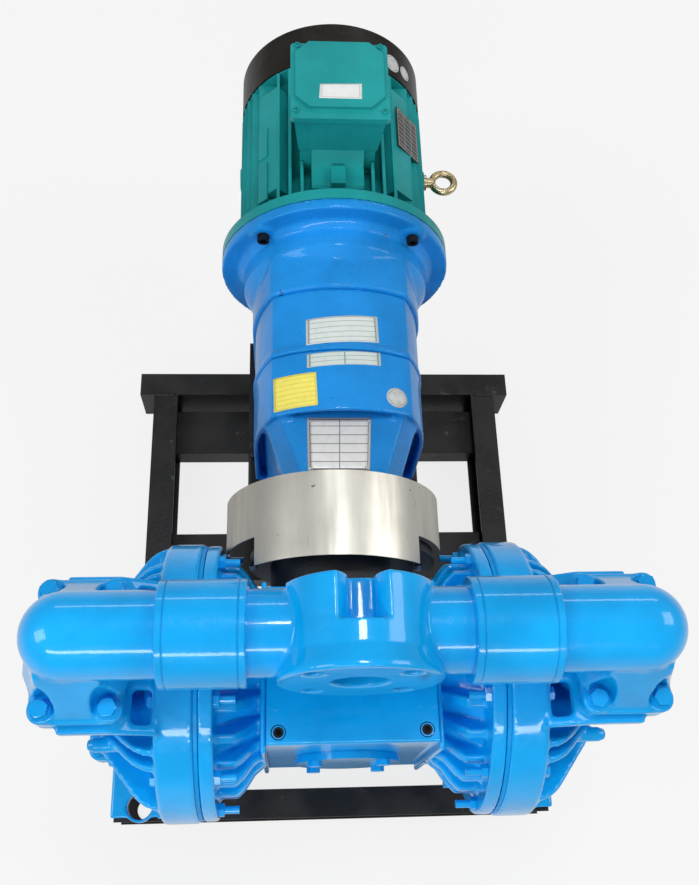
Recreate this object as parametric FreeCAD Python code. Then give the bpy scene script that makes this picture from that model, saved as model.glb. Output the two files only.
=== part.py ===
"""Motor-driven double diaphragm pump on a channel base frame.

Everything is drawn about the crank axis: +X to the right seen from the flange
side, +Y towards the motor, +Z up, in millimetres. save() then moves each piece
to the part's own frame, whose origin is the centre of the four foundation
holes on the floor plane.
"""
import FreeCAD, Part
import math
import os

Vec = FreeCAD.Vector
AXES = {"x": Vec(1, 0, 0), "y": Vec(0, 1, 0), "z": Vec(0, 0, 1)}
os.makedirs("parts", exist_ok=True)

# Clearances
seat_gap = 0.1          # radial room between pieces that are fitted and stay put
running_gap = 0.05      # radial room of a shaft in its bearing
loose_gap = 0.3         # room between curved faces that move past each other
bolt_gap = 0.3          # radial room of a bolt in its hole

# Base frame of rolled channel
frame_top = -340.0      # top of the frame below the crank axis
channel_h = 75.0
channel_w = 38.0
channel_t = 5.0
beam_half_x = 302.0
rail_outer_x = beam_half_x - 23.0
front_beam_y = -131.0
back_beam_y = 518.0
cross_member_w = 75.0
cross_member_ys = (215.0, 427.0)
foundation_x = beam_half_x - 36.0
foundation_hole_r = 14.0
floor_z = frame_top - channel_h
front_hole_y = front_beam_y + channel_w / 2
back_hole_y = back_beam_y + channel_w / 2
origin_y = (front_hole_y + back_hole_y) / 2
foot_bolt_x = rail_outer_x - channel_w / 2

# Screws: radius of the shank, width across the flats, height of the head
m8_r = 4.0
m8_af = 13.0
m8_head = 5.5
m10_r = 5.0
m10_af = 16.0
m10_head = 7.0
m12_r = 6.0
m12_af = 18.0
m12_head = 7.5
nut_share = 1.65        # a nut's height over the radius of its thread
thread_out = 5.0        # what a bolt shows past its nut

# Gearbox pedestal
pedestal_inner_x = 84.0
pedestal_outer_x = 118.0
pedestal_t = 6.0
pedestal_front_y = 225.0
pedestal_back_y = back_beam_y - 3.0

# Crank and yoke
eccentricity = 12.0     # half of the stroke
crank_r = 15.0
crank_front_y = -78.0
crank_back_y = 128.0
eccentric_r = 28.0
eccentric_half_w = 15.0
eccentric_ring_r = 36.0
yoke_half_w = 13.0
yoke_wall = 14.0
yoke_slot_room = 2.0    # the slot is wider than the ring by this on each side
rod_r = 14.0
stud_r = 10.0

# Centre block
block_half_x = 86.0
block_front_y = -85.0
block_back_y = 75.0
block_half_z = 118.0
block_corner_r = 4.0
cavity_half_y = 40.0
cavity_half_z = 72.0
front_bore_r = 44.0
bearing_r = 26.0
bearing_w = 14.0
rear_bearing_y = 50.0
seal_bore_r = 18.0
cover_r = 57.0
cover_t = 8.0
cover_bolt_at = 36.0
cover_thread = 20.0
thread_room = 2.0       # a blind hole is deeper than its screw by this
top_screw_x = 74.0
top_screw_y = -73.0
top_screw_head_r = 6.5
top_screw_sink = 8.0
top_screw_l = 28.0
top_screw_key_af = 6.0
top_screw_key_depth = 4.5

# Chambers and diaphragms
dish_mouth_r = 126.0
chamber_bolt_pcr = dish_mouth_r + 11.0
chamber_r = chamber_bolt_pcr + 13.0
chamber_bolt_count = 10
chamber_thread_out = 15.5
side_plate_t = 6.0
side_plate_margin_y = 7.0
side_plate_x = block_half_x + side_plate_t
dish_depth = 26.0       # of the hollow behind the diaphragm
inner_flange_t = 15.0
inner_flange_x = side_plate_x + dish_depth + 20.0
diaphragm_x = inner_flange_x + inner_flange_t
diaphragm_t = 4.0
diaphragm_margin = 2.0
outer_ring_w = 39.0
outer_ring_x = diaphragm_x + diaphragm_t + outer_ring_w
hub_inner_x = inner_flange_x - dish_depth
dish_neck_r = dish_mouth_r - 20.0
dish_floor_r = 72.0
dish_wall = 8.0
dish_back_r = 88.0      # of the casting's body where it meets the side plate
inner_rib_count = 24
inner_rib_t = 11.0
inner_rib_back_r = dish_back_r + 8.0
inner_rib_run = 26.0    # along the axis, from the side plate to the ribs' full height
bush_r = 20.0
dome_rise = 20.0        # from the outer ring's face to the dome's middle
dome_wall = 10.0
outer_rib_t = 7.0
outer_rib_angles = (18.0, 44.0, 51.5)   # above and below straight in front
outer_rib_round = 45.0  # radius with which a rib's crest rolls off the ring
outer_rib_fall = 52.0   # degrees at which the crest then falls to the column
plug_boss_r = 7.5
plug_boss_y = -75.0
plug_boss_z = 65.0
plug_af = 12.0
plug_head = 6.0
plate_r = 60.0
plate_t = 8.0
plate_nut_af = 30.0
plate_nut_t = 8.0

# Valves
column_x = outer_ring_x + 66.0
column_r = 37.0
passage_r = 27.0
column_end_z = 160.0
seat_r = 30.0
seat_hole_r = 15.0
seat_t = 10.0
ball_r = 19.0
ball_lift = 9.0
port_r = 24.0
joint_flange_t = 14.0
joint_bolt_dx = 31.0
joint_bolt_dy = 55.5
joint_lobe_r = 13.5
joint_pad_t = 5.0
spotface_r = 14.0
nut_pocket_r = 11.5
web_half_y = 76.0       # of the plate that runs from a column's flange to the clamping ring
web_drop = 22.0
window_w = 19.0
window_y = (33.0, 66.0)
stop_bar_t = 6.0
stop_bar_h = 8.0
washer_r = 10.5
washer_t = 2.0

# Manifolds and elbows
manifold_z = 235.0
pipe_r = 40.0
elbow_start_x = 145.0
elbow_dome_x = 265.0
elbow_base = ((52.0, 24.0), (44.0, 41.0), (30.0, 66.0))     # block round the column, at its foot
elbow_waist = ((38.0, 8.0), (34.0, 16.0), (28.0, 37.0))    # and under the pipe
collar_start_x = 101.0
collar_end_x = 180.0
collar_r = 49.0
flange_face_y = -45.7
flange_r = 76.2
flange_bore_r = 26.0
flange_pcr = 60.325
flange_rim_t = 6.0
flange_hole_at = flange_pcr / math.sqrt(2)
flange_hole_r = 9.5
flange_hole_depth = 32.0
body_r = 71.0
body_disc_back_y = -3.0
body_back_y = 40.0
boss_r = 31.0

# Feet of the outer chambers
foot_t = 14.0
foot_inner_x = 212.0
foot_outer_x = beam_half_x + 3.0
foot_front_y = 126.0
foot_back_y = 55.0
foot_hole_r = 17.0
foot_lug_wall = 4.0
leg_near_y = 82.0
leg_t = 12.0
leg_outer_x = outer_ring_x + 62.0
foot_bolt_y = 66.0

# Lantern, guard and coupling
lantern_back_y = 203.0
lantern_flange_t = 12.0
lantern_r = 84.0
lantern_wall = 10.0
lantern_rim_r = 108.0
lantern_rim_y = 128.0
lantern_window_half = 46.0
guard_r = 126.0
guard_t = 1.5
guard_shift_x = -10.0   # the band hangs a little to the left
guard_front_y = 106.0
guard_wing_front_y = 138.0
guard_back_y = 202.0
guard_top_angle = 46.0  # half of the arc that reaches furthest forward
guard_wing_angle = 84.0
coupling_r = 52.0
coupling_jaw_y = 139.0
coupling_half_l = 30.0
jaw_l = 14.0
jaw_half_angle = 16.0
jaw_inner_r = 22.0
spider_play = 0.5
guard_spacer_r = 7.0
guard_spacer_angle = 38.0

# Gearbox
box_half_x = 106.0
box_top_z = 108.0
box_bottom_z = -140.0
crown_half_x = 82.0     # where the crowned top rolls over into the sides
crown_drop = 23.0
flank_x = 98.0          # a point halfway down the roll
flank_drop = 64.0
side_drop = 125.0       # below the top, where the sides become upright
box_wall = 8.0
rim_wall = 6.0          # of the box's rim in front of the recess round the nose
nose_front = (64.0, 84.0, -96.0, 46.0)      # half width, top, bottom, half width of the top
nose_back = (98.0, 86.0, -134.0, 80.0)
nose_room = (82.0, 77.5, -117.0, 67.0)      # the hollow inside the nose
box_front_y = 283.0
recess_end_y = box_front_y + 26.0
output_end_y = 361.0
middle_end_y = 445.0
adapter_neck_y = 485.0
adapter_drum_y = adapter_neck_y + 15.0
adapter_drum_r = 120.0
motor_face_y = 546.0
lip = 2.5
lip_w = 7.0
adapter_proud = 3.0
gearbox_foot_z = -160.0
gearbox_foot_half_x = pedestal_outer_x - 2.0
gearbox_foot_y = (235.0, 350.0)
gearbox_bolt_x = pedestal_outer_x - 12.0
gearbox_web_x = gearbox_bolt_x - 16.0
gearbox_bolt_ys = (252.0, 333.0)
gear_module = 2.4
pinion_teeth = 13
wheel_teeth = 44
gear_backlash = 0.28
shaft_centres = gear_module * (pinion_teeth + wheel_teeth) / 2
output_shaft_r = 19.0
output_bearing_r = 34.0
layshaft_r = 11.0
layshaft_bearing_r = 24.0
output_wheel_y = (300.0, 324.0)
layshaft_wheel_y = (378.0, 400.0)
bearing_wall_y = (264.0, 284.0)
adapter_wall_t = 14.0
output_bearing_w = 18.0
output_bearing_y = lantern_back_y + 8.0
layshaft_bearing_w = 12.0
shaft_room = 3.0        # radial room of a shaft in a wall that doesn't carry it
corner_drop = 26.0      # height of the bevelled corners of the gearbox's section

# Motor
motor_flange_r = 150.0
motor_flange_t = 14.0
motor_bolt_pcr = motor_flange_r - 17.5
motor_boss_r = 16.0
motor_boss_h = 4.0
motor_screw_r = 5.0
motor_screw_af = 16.0
motor_screw_head_r = 7.5
motor_screw_head = 8.0
motor_screw_key_af = 8.0
motor_screw_key_depth = 5.0
motor_spigot_r = motor_flange_r - 35.0
motor_spigot_l = 4.5
pinion_shank_r = 11.0
pinion_shank_l = 40.0
rotor_start_y = middle_end_y + 30.0
frame_start_y = 575.0
frame_end_y = 785.0
frame_r = 106.0
frame_wall = 7.0
fin_r = frame_r + 21.0
fin_t = 4.0
fin_pitch = 15.0
fins_each_side = 5
motor_shaft_r = 19.0
motor_bearing_r = 36.0
motor_bearing_w = 13.0
stator_r = frame_r - frame_wall - seat_gap
stator_bore_r = stator_r - 33.0
rotor_r = stator_bore_r - 0.5
core_y = (600.0, 740.0)
cover_end_y = 858.0
cover_bevel = 8.0
fan_cover_r = fin_r - 0.5
fan_cover_start_y = 787.0
fan_cover_t = 2.0
fan_r = fan_cover_r - 26.5
fan_y = (806.0, 832.0)
fan_blades = 7
grille_rings = 4
grille_inner_r = 34.0
grille_pitch = 18.0
grille_slot_w = 10.0
terminal_half_x = 59.5
terminal_y = (616.0, 733.0)
terminal_top_z = 212.0
terminal_cover_t = 12.0
terminal_wall = 5.0
terminal_base_z = 140.0
terminal_inset = 4.0
terminal_taper = 6.0    # how far the body draws in at its base
terminal_corner_r = 5.0
panel_t = 4.0
panel_margin = 5.5
panel_front_margin = 15.0
panel_bevel = 17.0
saddle_half_x = terminal_half_x - 12.0
pad_half_x = 33.0
pad_y = (frame_start_y + 8.0, terminal_y[0] + 10.0)
pad_slope_y = terminal_y[0] - 2.0
pad_top_z = 122.0
pad_key_half = 9.0
pad_key_h = 8.0
corner_pad_half = 17.0
corner_panel_w = 17.0
corner_panel_ys = ((588.0, 646.0), (656.0, 702.0))
eye_y = 686.0
eye_r = 20.5
eye_wire_r = 5.0
eye_seat_x = fin_r + 1.0
eye_boss_r = 15.0
eye_collar_r = 11.0
eye_collar_t = 4.0
eye_neck_r = 7.0
eye_neck_l = 8.0


def cylinder(axis, radius, start, end, at=(0, 0)):
    """A cylinder along an axis, from start to end, with its centre line at the other two coordinates."""
    base = {"x": Vec(start, *at), "y": Vec(at[0], start, at[1]), "z": Vec(at[0], at[1], start)}[axis]
    return Part.makeCylinder(radius, end - start, base, AXES[axis])


def tube(axis, outer, inner, start, end, at=(0, 0)):
    return cylinder(axis, outer, start, end, at).cut(cylinder(axis, inner, start - 1, end + 1, at))


def box(xs, ys, zs):
    return Part.makeBox(xs[1] - xs[0], ys[1] - ys[0], zs[1] - zs[0], Vec(xs[0], ys[0], zs[0]))


def outline(axis, points, along):
    """A closed polygon in the plane square to an axis."""
    place = {
        "x": lambda p: Vec(along, p[0], p[1]),
        "y": lambda p: Vec(p[0], along, p[1]),
        "z": lambda p: Vec(p[0], p[1], along),
    }[axis]
    corners = [place(p) for p in points]
    return Part.makePolygon(corners + corners[:1])


def slab(axis, points, start, end):
    """An outline in the plane square to an axis, pushed from start to end along it."""
    return Part.Face(outline(axis, points, start)).extrude(AXES[axis] * (end - start))


def loft(axis, first, start, second, end):
    """A solid between two outlines of as many corners."""
    return Part.makeLoft([outline(axis, first, start), outline(axis, second, end)], True, True)


def rectangle(half_x, ys):
    return [(-half_x, ys[0]), (half_x, ys[0]), (half_x, ys[1]), (-half_x, ys[1])]


def turned(axis, profile):
    """A profile of (along, radius) points turned about an axis."""
    place = {
        "x": lambda p: Vec(p[0], p[1], 0),
        "y": lambda p: Vec(p[1], p[0], 0),
        "z": lambda p: Vec(p[1], 0, p[0]),
    }[axis]
    corners = [place(p) for p in profile]
    face = Part.Face(Part.makePolygon(corners + corners[:1]))
    return face.revolve(Vec(0, 0, 0), AXES[axis], 360)


def hexagon(axis, across_flats, start, end, at=(0, 0)):
    radius = across_flats / math.sqrt(3)
    points = [
        (at[0] + radius * math.cos(math.radians(60 * k)), at[1] + radius * math.sin(math.radians(60 * k)))
        for k in range(6)
    ]
    return slab(axis, points, start, end)


def sorted_pair(a, b):
    return (min(a, b), max(a, b))


def polar(radius, degrees):
    return radius * math.cos(math.radians(degrees)), radius * math.sin(math.radians(degrees))


def spun(shape, axis, degrees, centre=Vec(0, 0, 0)):
    copy = shape.copy()
    copy.rotate(centre, AXES[axis], degrees)
    return copy


def shifted(shape, x=0.0, y=0.0, z=0.0):
    copy = shape.copy()
    copy.translate(Vec(x, y, z))
    return copy


def flipped(shape, axis):
    """The mirror image across the plane through the crank axis that is square to an axis."""
    return shape.mirror(Vec(0, 0, 0), AXES[axis])


def joined(shapes):
    return shapes[0].fuse(shapes[1:]).removeSplitter()


def four_ways(x, y):
    return [(sx * x, sy * y) for sx in (-1, 1) for sy in (-1, 1)]


def save(name, *shapes):
    """Writes one sub-part: its solids, moved to the part's own frame."""
    solids = [shifted(solid, 0, -origin_y, -floor_z) for shape in shapes for solid in shape.Solids]
    whole = solids[0] if len(solids) == 1 else Part.makeCompound(solids)
    whole.exportStep("parts/" + name + ".step")


def save_pair(name, shape):
    """Writes a right-hand piece and its mirror image on the left."""
    save(name + "_right", shape)
    save(name + "_left", flipped(shape, "x"))


def channel_section(u, v, open_to):
    """A channel's outline: u is the web's outer face, v the span of its height."""
    tip = u + open_to * channel_w
    web = u + open_to * channel_t
    low, high = v
    return [
        (u, low), (tip, low), (tip, low + channel_t), (web, low + channel_t),
        (web, high - channel_t), (tip, high - channel_t), (tip, high), (u, high),
    ]


def base_frame():
    span = (floor_z, frame_top)
    front = slab("x", channel_section(front_beam_y + channel_w, span, -1), -beam_half_x, beam_half_x)
    back = slab("x", channel_section(back_beam_y, span, 1), -beam_half_x, beam_half_x)
    holes = []
    for side in (-1, 1):
        for y in (front_hole_y, back_hole_y):
            at = (side * foundation_x, y)
            holes.append(cylinder("z", foundation_hole_r, floor_z - 1, floor_z + channel_t + 1, at))
        at = (side * foundation_x, front_hole_y)
        holes.append(cylinder("z", foot_hole_r, frame_top - channel_t - 1, frame_top + 1, at))
    save("end_beams", front.cut(holes), back.cut(holes))
    rail = slab("y", channel_section(rail_outer_x, span, -1), front_beam_y + channel_w, back_beam_y)
    rail = rail.cut([
        cylinder("z", m12_r + bolt_gap, frame_top - channel_t - 1, frame_top + 1, (foot_bolt_x, y))
        for y in (-foot_bolt_y, foot_bolt_y)
    ])
    save("side_rails", rail, flipped(rail, "x"))
    member_low = floor_z + channel_t
    member_top = member_low + channel_w
    half = rail_outer_x - channel_t
    members = []
    for y in cross_member_ys:
        y_end = y + cross_member_w
        outline = [
            (y, member_low), (y + channel_t, member_low),
            (y + channel_t, member_top - channel_t), (y_end - channel_t, member_top - channel_t),
            (y_end - channel_t, member_low), (y_end, member_low),
            (y_end, member_top), (y, member_top),
        ]
        members.append(slab("x", outline, -half, half))
    save("cross_members", *members)
    run = (pedestal_front_y, pedestal_back_y)
    plate_low = gearbox_foot_z - pedestal_t
    width = (pedestal_inner_x, pedestal_outer_x)
    post = joined([
        box((pedestal_inner_x, pedestal_inner_x + pedestal_t), run, (member_top, gearbox_foot_z)),
        box(width, run, (plate_low, gearbox_foot_z)),
        box(width, run, (member_top, member_top + pedestal_t)),
    ])
    post = post.cut([
        cylinder("z", m12_r + bolt_gap, plate_low - 1, gearbox_foot_z + 1, (gearbox_bolt_x, y))
        for y in gearbox_bolt_ys
    ])
    save("pedestal_rails", post, flipped(post, "x"))


def screw(axis, radius, across_flats, head, seat, end, at):
    """A hexagon screw: its head stands on the seat, away from its end."""
    away = 1 if seat > end else -1
    shank = cylinder(axis, radius, *sorted_pair(seat, end), at)
    cap = hexagon(axis, across_flats, *sorted_pair(seat, seat + away * head), at)
    return joined([shank, cap])


def bolt(axis, radius, across_flats, head, seat, under, at, past_nut=thread_out):
    """A hexagon bolt: its head on the seat, and its nut against the face on the other side."""
    away = 1 if under > seat else -1
    nut_end = under + away * nut_share * radius
    nut = hexagon(axis, across_flats, *sorted_pair(under, nut_end), at)
    return joined([screw(axis, radius, across_flats, head, seat, nut_end + away * past_nut, at), nut])


def foot_bolts():
    """The bolts that hold the pump's feet and the gearbox's foot."""
    bolts = []
    for y in (-foot_bolt_y, foot_bolt_y):
        spot = (foot_bolt_x, y)
        bolts.append(bolt("z", m12_r, m12_af, m12_head, frame_top + foot_t, frame_top - channel_t, spot))
    for y in gearbox_bolt_ys:
        spot = (gearbox_bolt_x, y)
        seat, under = gearbox_foot_z + foot_t, gearbox_foot_z - pedestal_t
        bolts.append(bolt("z", m12_r, m12_af, m12_head, seat, under, spot))
    save("foot_bolts", *bolts, *[flipped(piece, "x") for piece in bolts])


def centre_block():
    body = box((-block_half_x, block_half_x), (block_front_y, block_back_y), (-block_half_z, block_half_z))
    edges = [edge for edge in body.Edges if abs(edge.tangentAt(edge.FirstParameter).x) > 0.9]
    body = body.makeFillet(block_corner_r, edges)
    tools = [
        box((-block_half_x - 1, block_half_x + 1), (-cavity_half_y, cavity_half_y),
            (-cavity_half_z, cavity_half_z)),
        cylinder("y", front_bore_r, block_front_y - 1, 0),
        cylinder("y", bearing_r + seat_gap, 0, rear_bearing_y + bearing_w),
        cylinder("y", seal_bore_r, 0, block_back_y + 1),
    ]
    for spot in four_ways(cover_bolt_at, cover_bolt_at):
        depth = block_front_y + cover_thread + thread_room
        tools.append(cylinder("y", m8_r + seat_gap, block_front_y - 1, depth, spot))
    for x in (-top_screw_x, top_screw_x):
        spot = (x, top_screw_y)
        depth = block_half_z - top_screw_l - thread_room
        tools.append(cylinder("z", m8_r + seat_gap, depth, block_half_z + 1, spot))
        sink_low = block_half_z - top_screw_sink
        tools.append(cylinder("z", top_screw_head_r + 1, sink_low, block_half_z + 1, spot))
    save("centre_block", body.cut(tools))


def crank_cover():
    """The round front cover, whose spigot carries the crank's front bearing."""
    spigot_back = crank_front_y + bearing_w
    face = block_front_y - cover_t
    cover = joined([
        cylinder("y", cover_r, face, block_front_y),
        cylinder("y", front_bore_r - seat_gap, block_front_y, spigot_back),
    ])
    spots = four_ways(cover_bolt_at, cover_bolt_at)
    tools = [cylinder("y", bearing_r + seat_gap, crank_front_y, spigot_back + 1)]
    tools += [cylinder("y", m8_r + bolt_gap, face - 1, block_front_y + 1, spot) for spot in spots]
    save("crank_cover", cover.cut(tools))


def block_screws():
    """The cover's hexagon screws and the two socket screws in the block's top."""
    face = block_front_y - cover_t
    screws = [
        screw("y", m8_r, m8_af, m8_head, face, block_front_y + cover_thread, spot)
        for spot in four_ways(cover_bolt_at, cover_bolt_at)
    ]
    seat = block_half_z - top_screw_sink
    top = block_half_z - seat_gap
    for x in (-top_screw_x, top_screw_x):
        spot = (x, top_screw_y)
        head = cylinder("z", top_screw_head_r, seat, top, spot)
        head = head.cut(hexagon("z", top_screw_key_af, top - top_screw_key_depth, top + 1, spot))
        screws.append(joined([head, cylinder("z", m8_r, block_half_z - top_screw_l, seat, spot)]))
    save("block_screws", *screws)


def crankshaft():
    shaft = cylinder("y", crank_r, crank_front_y, crank_back_y)
    disc = cylinder("y", eccentric_r, -eccentric_half_w, eccentric_half_w, (0, eccentricity))
    save("crankshaft", joined([shaft, disc]))
    ring_half = yoke_half_w + 1
    ring = tube("y", eccentric_ring_r, eccentric_r, -ring_half, ring_half, (0, eccentricity))
    save("eccentric_bearing", ring)
    save("crank_bearings", *[
        tube("y", bearing_r, crank_r + running_gap, start, start + bearing_w)
        for start in (crank_front_y, rear_bearing_y)
    ])


def yoke():
    """The sliding yoke with its two rods, which the eccentric drives from side to side."""
    slot_x = eccentric_ring_r + yoke_slot_room
    slot_z = eccentric_ring_r + eccentricity + yoke_slot_room
    half_x = slot_x + yoke_wall
    half_z = slot_z + yoke_wall
    frame = box((-half_x, half_x), (-yoke_half_w, yoke_half_w), (-half_z, half_z))
    frame = frame.cut(box((-slot_x, slot_x), (-yoke_half_w - 1, yoke_half_w + 1), (-slot_z, slot_z)))
    plate_x = diaphragm_x - plate_t
    stud_end = diaphragm_x + diaphragm_t + plate_t + plate_nut_t
    rod = joined([cylinder("x", rod_r, half_x, plate_x), cylinder("x", stud_r, plate_x, stud_end)])
    save("yoke", joined([frame, rod, flipped(rod, "x")]))


def diaphragms():
    front = diaphragm_x
    back = diaphragm_x + diaphragm_t
    hole_r = stud_r + seat_gap
    sheet = tube("x", chamber_r - diaphragm_margin, hole_r, front, back)
    save_pair("diaphragm", sheet.cut(chamber_bolt_holes(front - 1, back + 1)))
    nut = hexagon("x", plate_nut_af, back + plate_t, back + plate_t + plate_nut_t)
    pieces = [
        tube("x", plate_r, hole_r, front - plate_t, front),
        tube("x", plate_r, hole_r, back, back + plate_t),
        nut.cut(cylinder("x", hole_r, back, back + plate_t + plate_nut_t + 1)),
    ]
    save("diaphragm_plates", *pieces, *[flipped(piece, "x") for piece in pieces])


def chamber_bolt_spots():
    """Bolt centres (y, z) round a chamber, the first straight in front."""
    step = 360 / chamber_bolt_count
    return [polar(chamber_bolt_pcr, 180 + step * k) for k in range(chamber_bolt_count)]


def chamber_bolt_holes(start, end):
    return [cylinder("x", m8_r + bolt_gap, start, end, at) for at in chamber_bolt_spots()]


def inner_chamber():
    """The ribbed dish between the centre block and the diaphragm, with the rod's bush in its hub."""
    plate_x, flange_x, seal_x = side_plate_x, inner_flange_x, diaphragm_x
    rim_r = chamber_r - diaphragm_margin
    body_r = dish_neck_r + dish_wall
    crest_r = dish_mouth_r
    dish = turned("x", [
        (plate_x, 0), (plate_x, dish_back_r), (flange_x, body_r), (flange_x, rim_r),
        (seal_x, rim_r), (seal_x, dish_mouth_r), (flange_x, dish_neck_r),
        (hub_inner_x, dish_floor_r), (hub_inner_x, 0),
    ])
    side_plate = box(
        (block_half_x, plate_x),
        (block_front_y - side_plate_margin_y, block_back_y + side_plate_margin_y),
        (-block_half_z + side_plate_t, block_half_z - side_plate_t),
    )
    rib_profile = [
        (plate_x - 1, dish_back_r - 4), (plate_x - 1, inner_rib_back_r), (plate_x + 7, inner_rib_back_r + 6),
        (plate_x + 17, crest_r - 9), (plate_x + inner_rib_run, crest_r), (flange_x + 1, crest_r),
        (flange_x + 1, body_r - 4),
    ]
    rib = slab("y", rib_profile, -inner_rib_t / 2, inner_rib_t / 2)
    step = 360 / inner_rib_count
    ribs = [spun(rib, "x", step * (k + 0.5)) for k in range(inner_rib_count)]
    tools = chamber_bolt_holes(flange_x - 1, seal_x + 1)
    tools.append(cylinder("x", bush_r + seat_gap, block_half_x - 1, hub_inner_x + 1))
    save_pair("inner_chamber", joined([dish, side_plate] + ribs).cut(tools))
    bush = tube("x", bush_r, rod_r + running_gap, block_half_x, hub_inner_x)
    save("rod_bushes", bush, flipped(bush, "x"))


def joint_flange(low, high):
    """The flange of a valve column: a plate with a rounded lobe round each of its four bolts."""
    x, y = joint_bolt_dx, joint_bolt_dy
    pieces = [
        box((column_x - x, column_x + x), (-y - joint_lobe_r, y + joint_lobe_r), (low, high)),
        box((column_x - x - joint_lobe_r, column_x + x + joint_lobe_r), (-y, y), (low, high)),
    ]
    pieces += [cylinder("z", joint_lobe_r, low, high, (column_x + dx, dy)) for dx, dy in four_ways(x, y)]
    return joined(pieces)


def joint_bolt_spots():
    return [(column_x + dx, dy) for dx, dy in four_ways(joint_bolt_dx, joint_bolt_dy)]


def joint_bolt_holes(low, high):
    return [cylinder("z", m10_r + bolt_gap, low, high, spot) for spot in joint_bolt_spots()]


def chamber_rib():
    """A rib of the outer casting: its crest rolls off the clamping ring and falls to the valve column."""
    face = outer_ring_x
    start, end = math.radians(10), math.radians(outer_rib_fall)
    steps = 4
    crest = []
    for k in range(steps + 1):
        angle = start + (end - start) * k / steps
        run = outer_rib_round * (math.sin(angle) - math.sin(start))
        fall = outer_rib_round * (math.cos(start) - math.cos(angle))
        crest.append((face + run, chamber_r - 4 - fall))
    end_x = column_x + 2
    end_r = crest[-1][1] - (end_x - crest[-1][0]) * math.tan(end)
    inside_x = face + dome_rise - 6
    profile = [(face - 4, dish_mouth_r - 26), (face - 4, chamber_r - 5), *crest]
    profile += [(end_x, end_r), (end_x, column_r - 10), (inside_x, column_r - 10)]
    return slab("y", profile, -outer_rib_t / 2, outer_rib_t / 2)


def column_flange():
    """The flange on top of the valve column, run on as a web with two windows to the clamping ring."""
    top, low = column_end_z, column_end_z - joint_flange_t
    ring_x, bend_x, end_x = outer_ring_x - 6, column_x - joint_bolt_dx, column_x + 20
    web = slab("y", [
        (ring_x, low - web_drop), (bend_x, low), (end_x, low), (end_x, top), (bend_x, top),
        (ring_x, top - web_drop),
    ], -web_half_y, web_half_y)
    tools = [cylinder("z", nut_pocket_r, low - 2 * web_drop, low, spot) for spot in joint_bolt_spots()]
    for side in (-1, 1):
        ys = sorted_pair(side * window_y[0], side * window_y[1])
        window = box((outer_ring_x, outer_ring_x + window_w), ys, (low - 2 * web_drop, top + 1))
        corners = [
            edge for edge in window.Edges
            if abs(edge.tangentAt(edge.FirstParameter).z) > 0.9 and edge.CenterOfMass.x > outer_ring_x + 1
        ]
        tools.append(window.makeFillet(5, corners))
    return joined([joint_flange(low, top), web.cut(tools)])


def outer_chamber():
    """The outer casting: clamping ring, dome, ribs, valve column and the legs that carry the pump."""
    back = diaphragm_x + diaphragm_t
    face = outer_ring_x
    dome_x = face + dome_rise
    floor_x = dome_x - dome_wall
    mouth = dish_mouth_r
    shell = turned("x", [
        (back, mouth + 2), (back, chamber_r), (face - 3, chamber_r), (face, chamber_r - 3),
        (face, mouth - 2), (dome_x - 11, mouth - 24), (dome_x - 2, mouth - 56), (dome_x, 0),
        (floor_x, 0), (floor_x - 3, mouth - 66), (floor_x - 18, mouth - 34), (floor_x - 32, mouth - 6),
    ])
    column = cylinder("z", column_r, -column_end_z, column_end_z, (column_x, 0))
    neck = cylinder("x", port_r + dome_wall, dome_x - dome_wall / 2, column_x)
    flange = column_flange()
    bodies = [shell, column, neck, flange, flipped(flange, "z")]
    rib = chamber_rib()
    for degrees in outer_rib_angles:
        for turn in (degrees, -degrees):
            bodies += [spun(rib, "x", 90 - turn), spun(rib, "x", -90 + turn)]
    plug_at = (plug_boss_y, plug_boss_z)
    boss_end = column_x + 1
    bodies.append(cylinder("x", plug_boss_r, face + 2, boss_end, plug_at))
    bodies.append(hexagon("x", plug_af, boss_end, boss_end + plug_head, plug_at))
    leg_outline = [
        (face - 30, -104), (face, -66), (face + 14, -80), (leg_outer_x, frame_top + 1),
        (foot_inner_x, frame_top + 1), (face - 30, -136),
    ]
    for side in (-1, 1):
        leg = slab("y", leg_outline, *sorted_pair(side * leg_near_y, side * (leg_near_y + leg_t)))
        foot = box((foot_inner_x, foot_outer_x), sorted_pair(side * foot_back_y, side * foot_front_y),
                   (frame_top, frame_top + foot_t))
        lug = cylinder("z", foot_hole_r + foot_lug_wall, frame_top, frame_top + foot_t,
                       (foundation_x, side * -front_hole_y))
        bodies += [foot, lug, leg]
    tools = chamber_bolt_holes(back - 1, face + 1)
    for low in (column_end_z - joint_flange_t, -column_end_z):
        tools += joint_bolt_holes(low - 1, low + joint_flange_t + 1)
    tools.append(cylinder("z", passage_r, -column_end_z - 1, column_end_z + 1, (column_x, 0)))
    tools.append(cylinder("x", port_r, face, column_x))
    for low in (-column_end_z - 1, column_end_z - seat_t):
        tools.append(cylinder("z", seat_r + seat_gap, low, low + seat_t + 1, (column_x, 0)))
    low, high = frame_top - 1, frame_top + foot_t + 1
    for side in (-1, 1):
        tools.append(cylinder("z", foot_hole_r, low, high, (foundation_x, side * -front_hole_y)))
        tools.append(cylinder("z", m12_r + bolt_gap, low, high, (foot_bolt_x, side * foot_bolt_y)))
    stop_low = -column_end_z + seat_t + ball_rise() + ball_r + ball_lift + loose_gap
    stop_z = (stop_low, stop_low + stop_bar_h)
    reach = passage_r + 1
    half_bar = stop_bar_t / 2
    stop = [
        box((column_x - reach, column_x + reach), (-half_bar, half_bar), stop_z),
        box((column_x - half_bar, column_x + half_bar), (-reach, reach), stop_z),
    ]
    save_pair("outer_chamber", joined([joined(bodies).cut(tools)] + stop))


def ball_rise():
    """How far a ball's centre stands above the rim of its seat's hole."""
    return math.sqrt(ball_r ** 2 - seat_hole_r ** 2) + loose_gap


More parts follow.
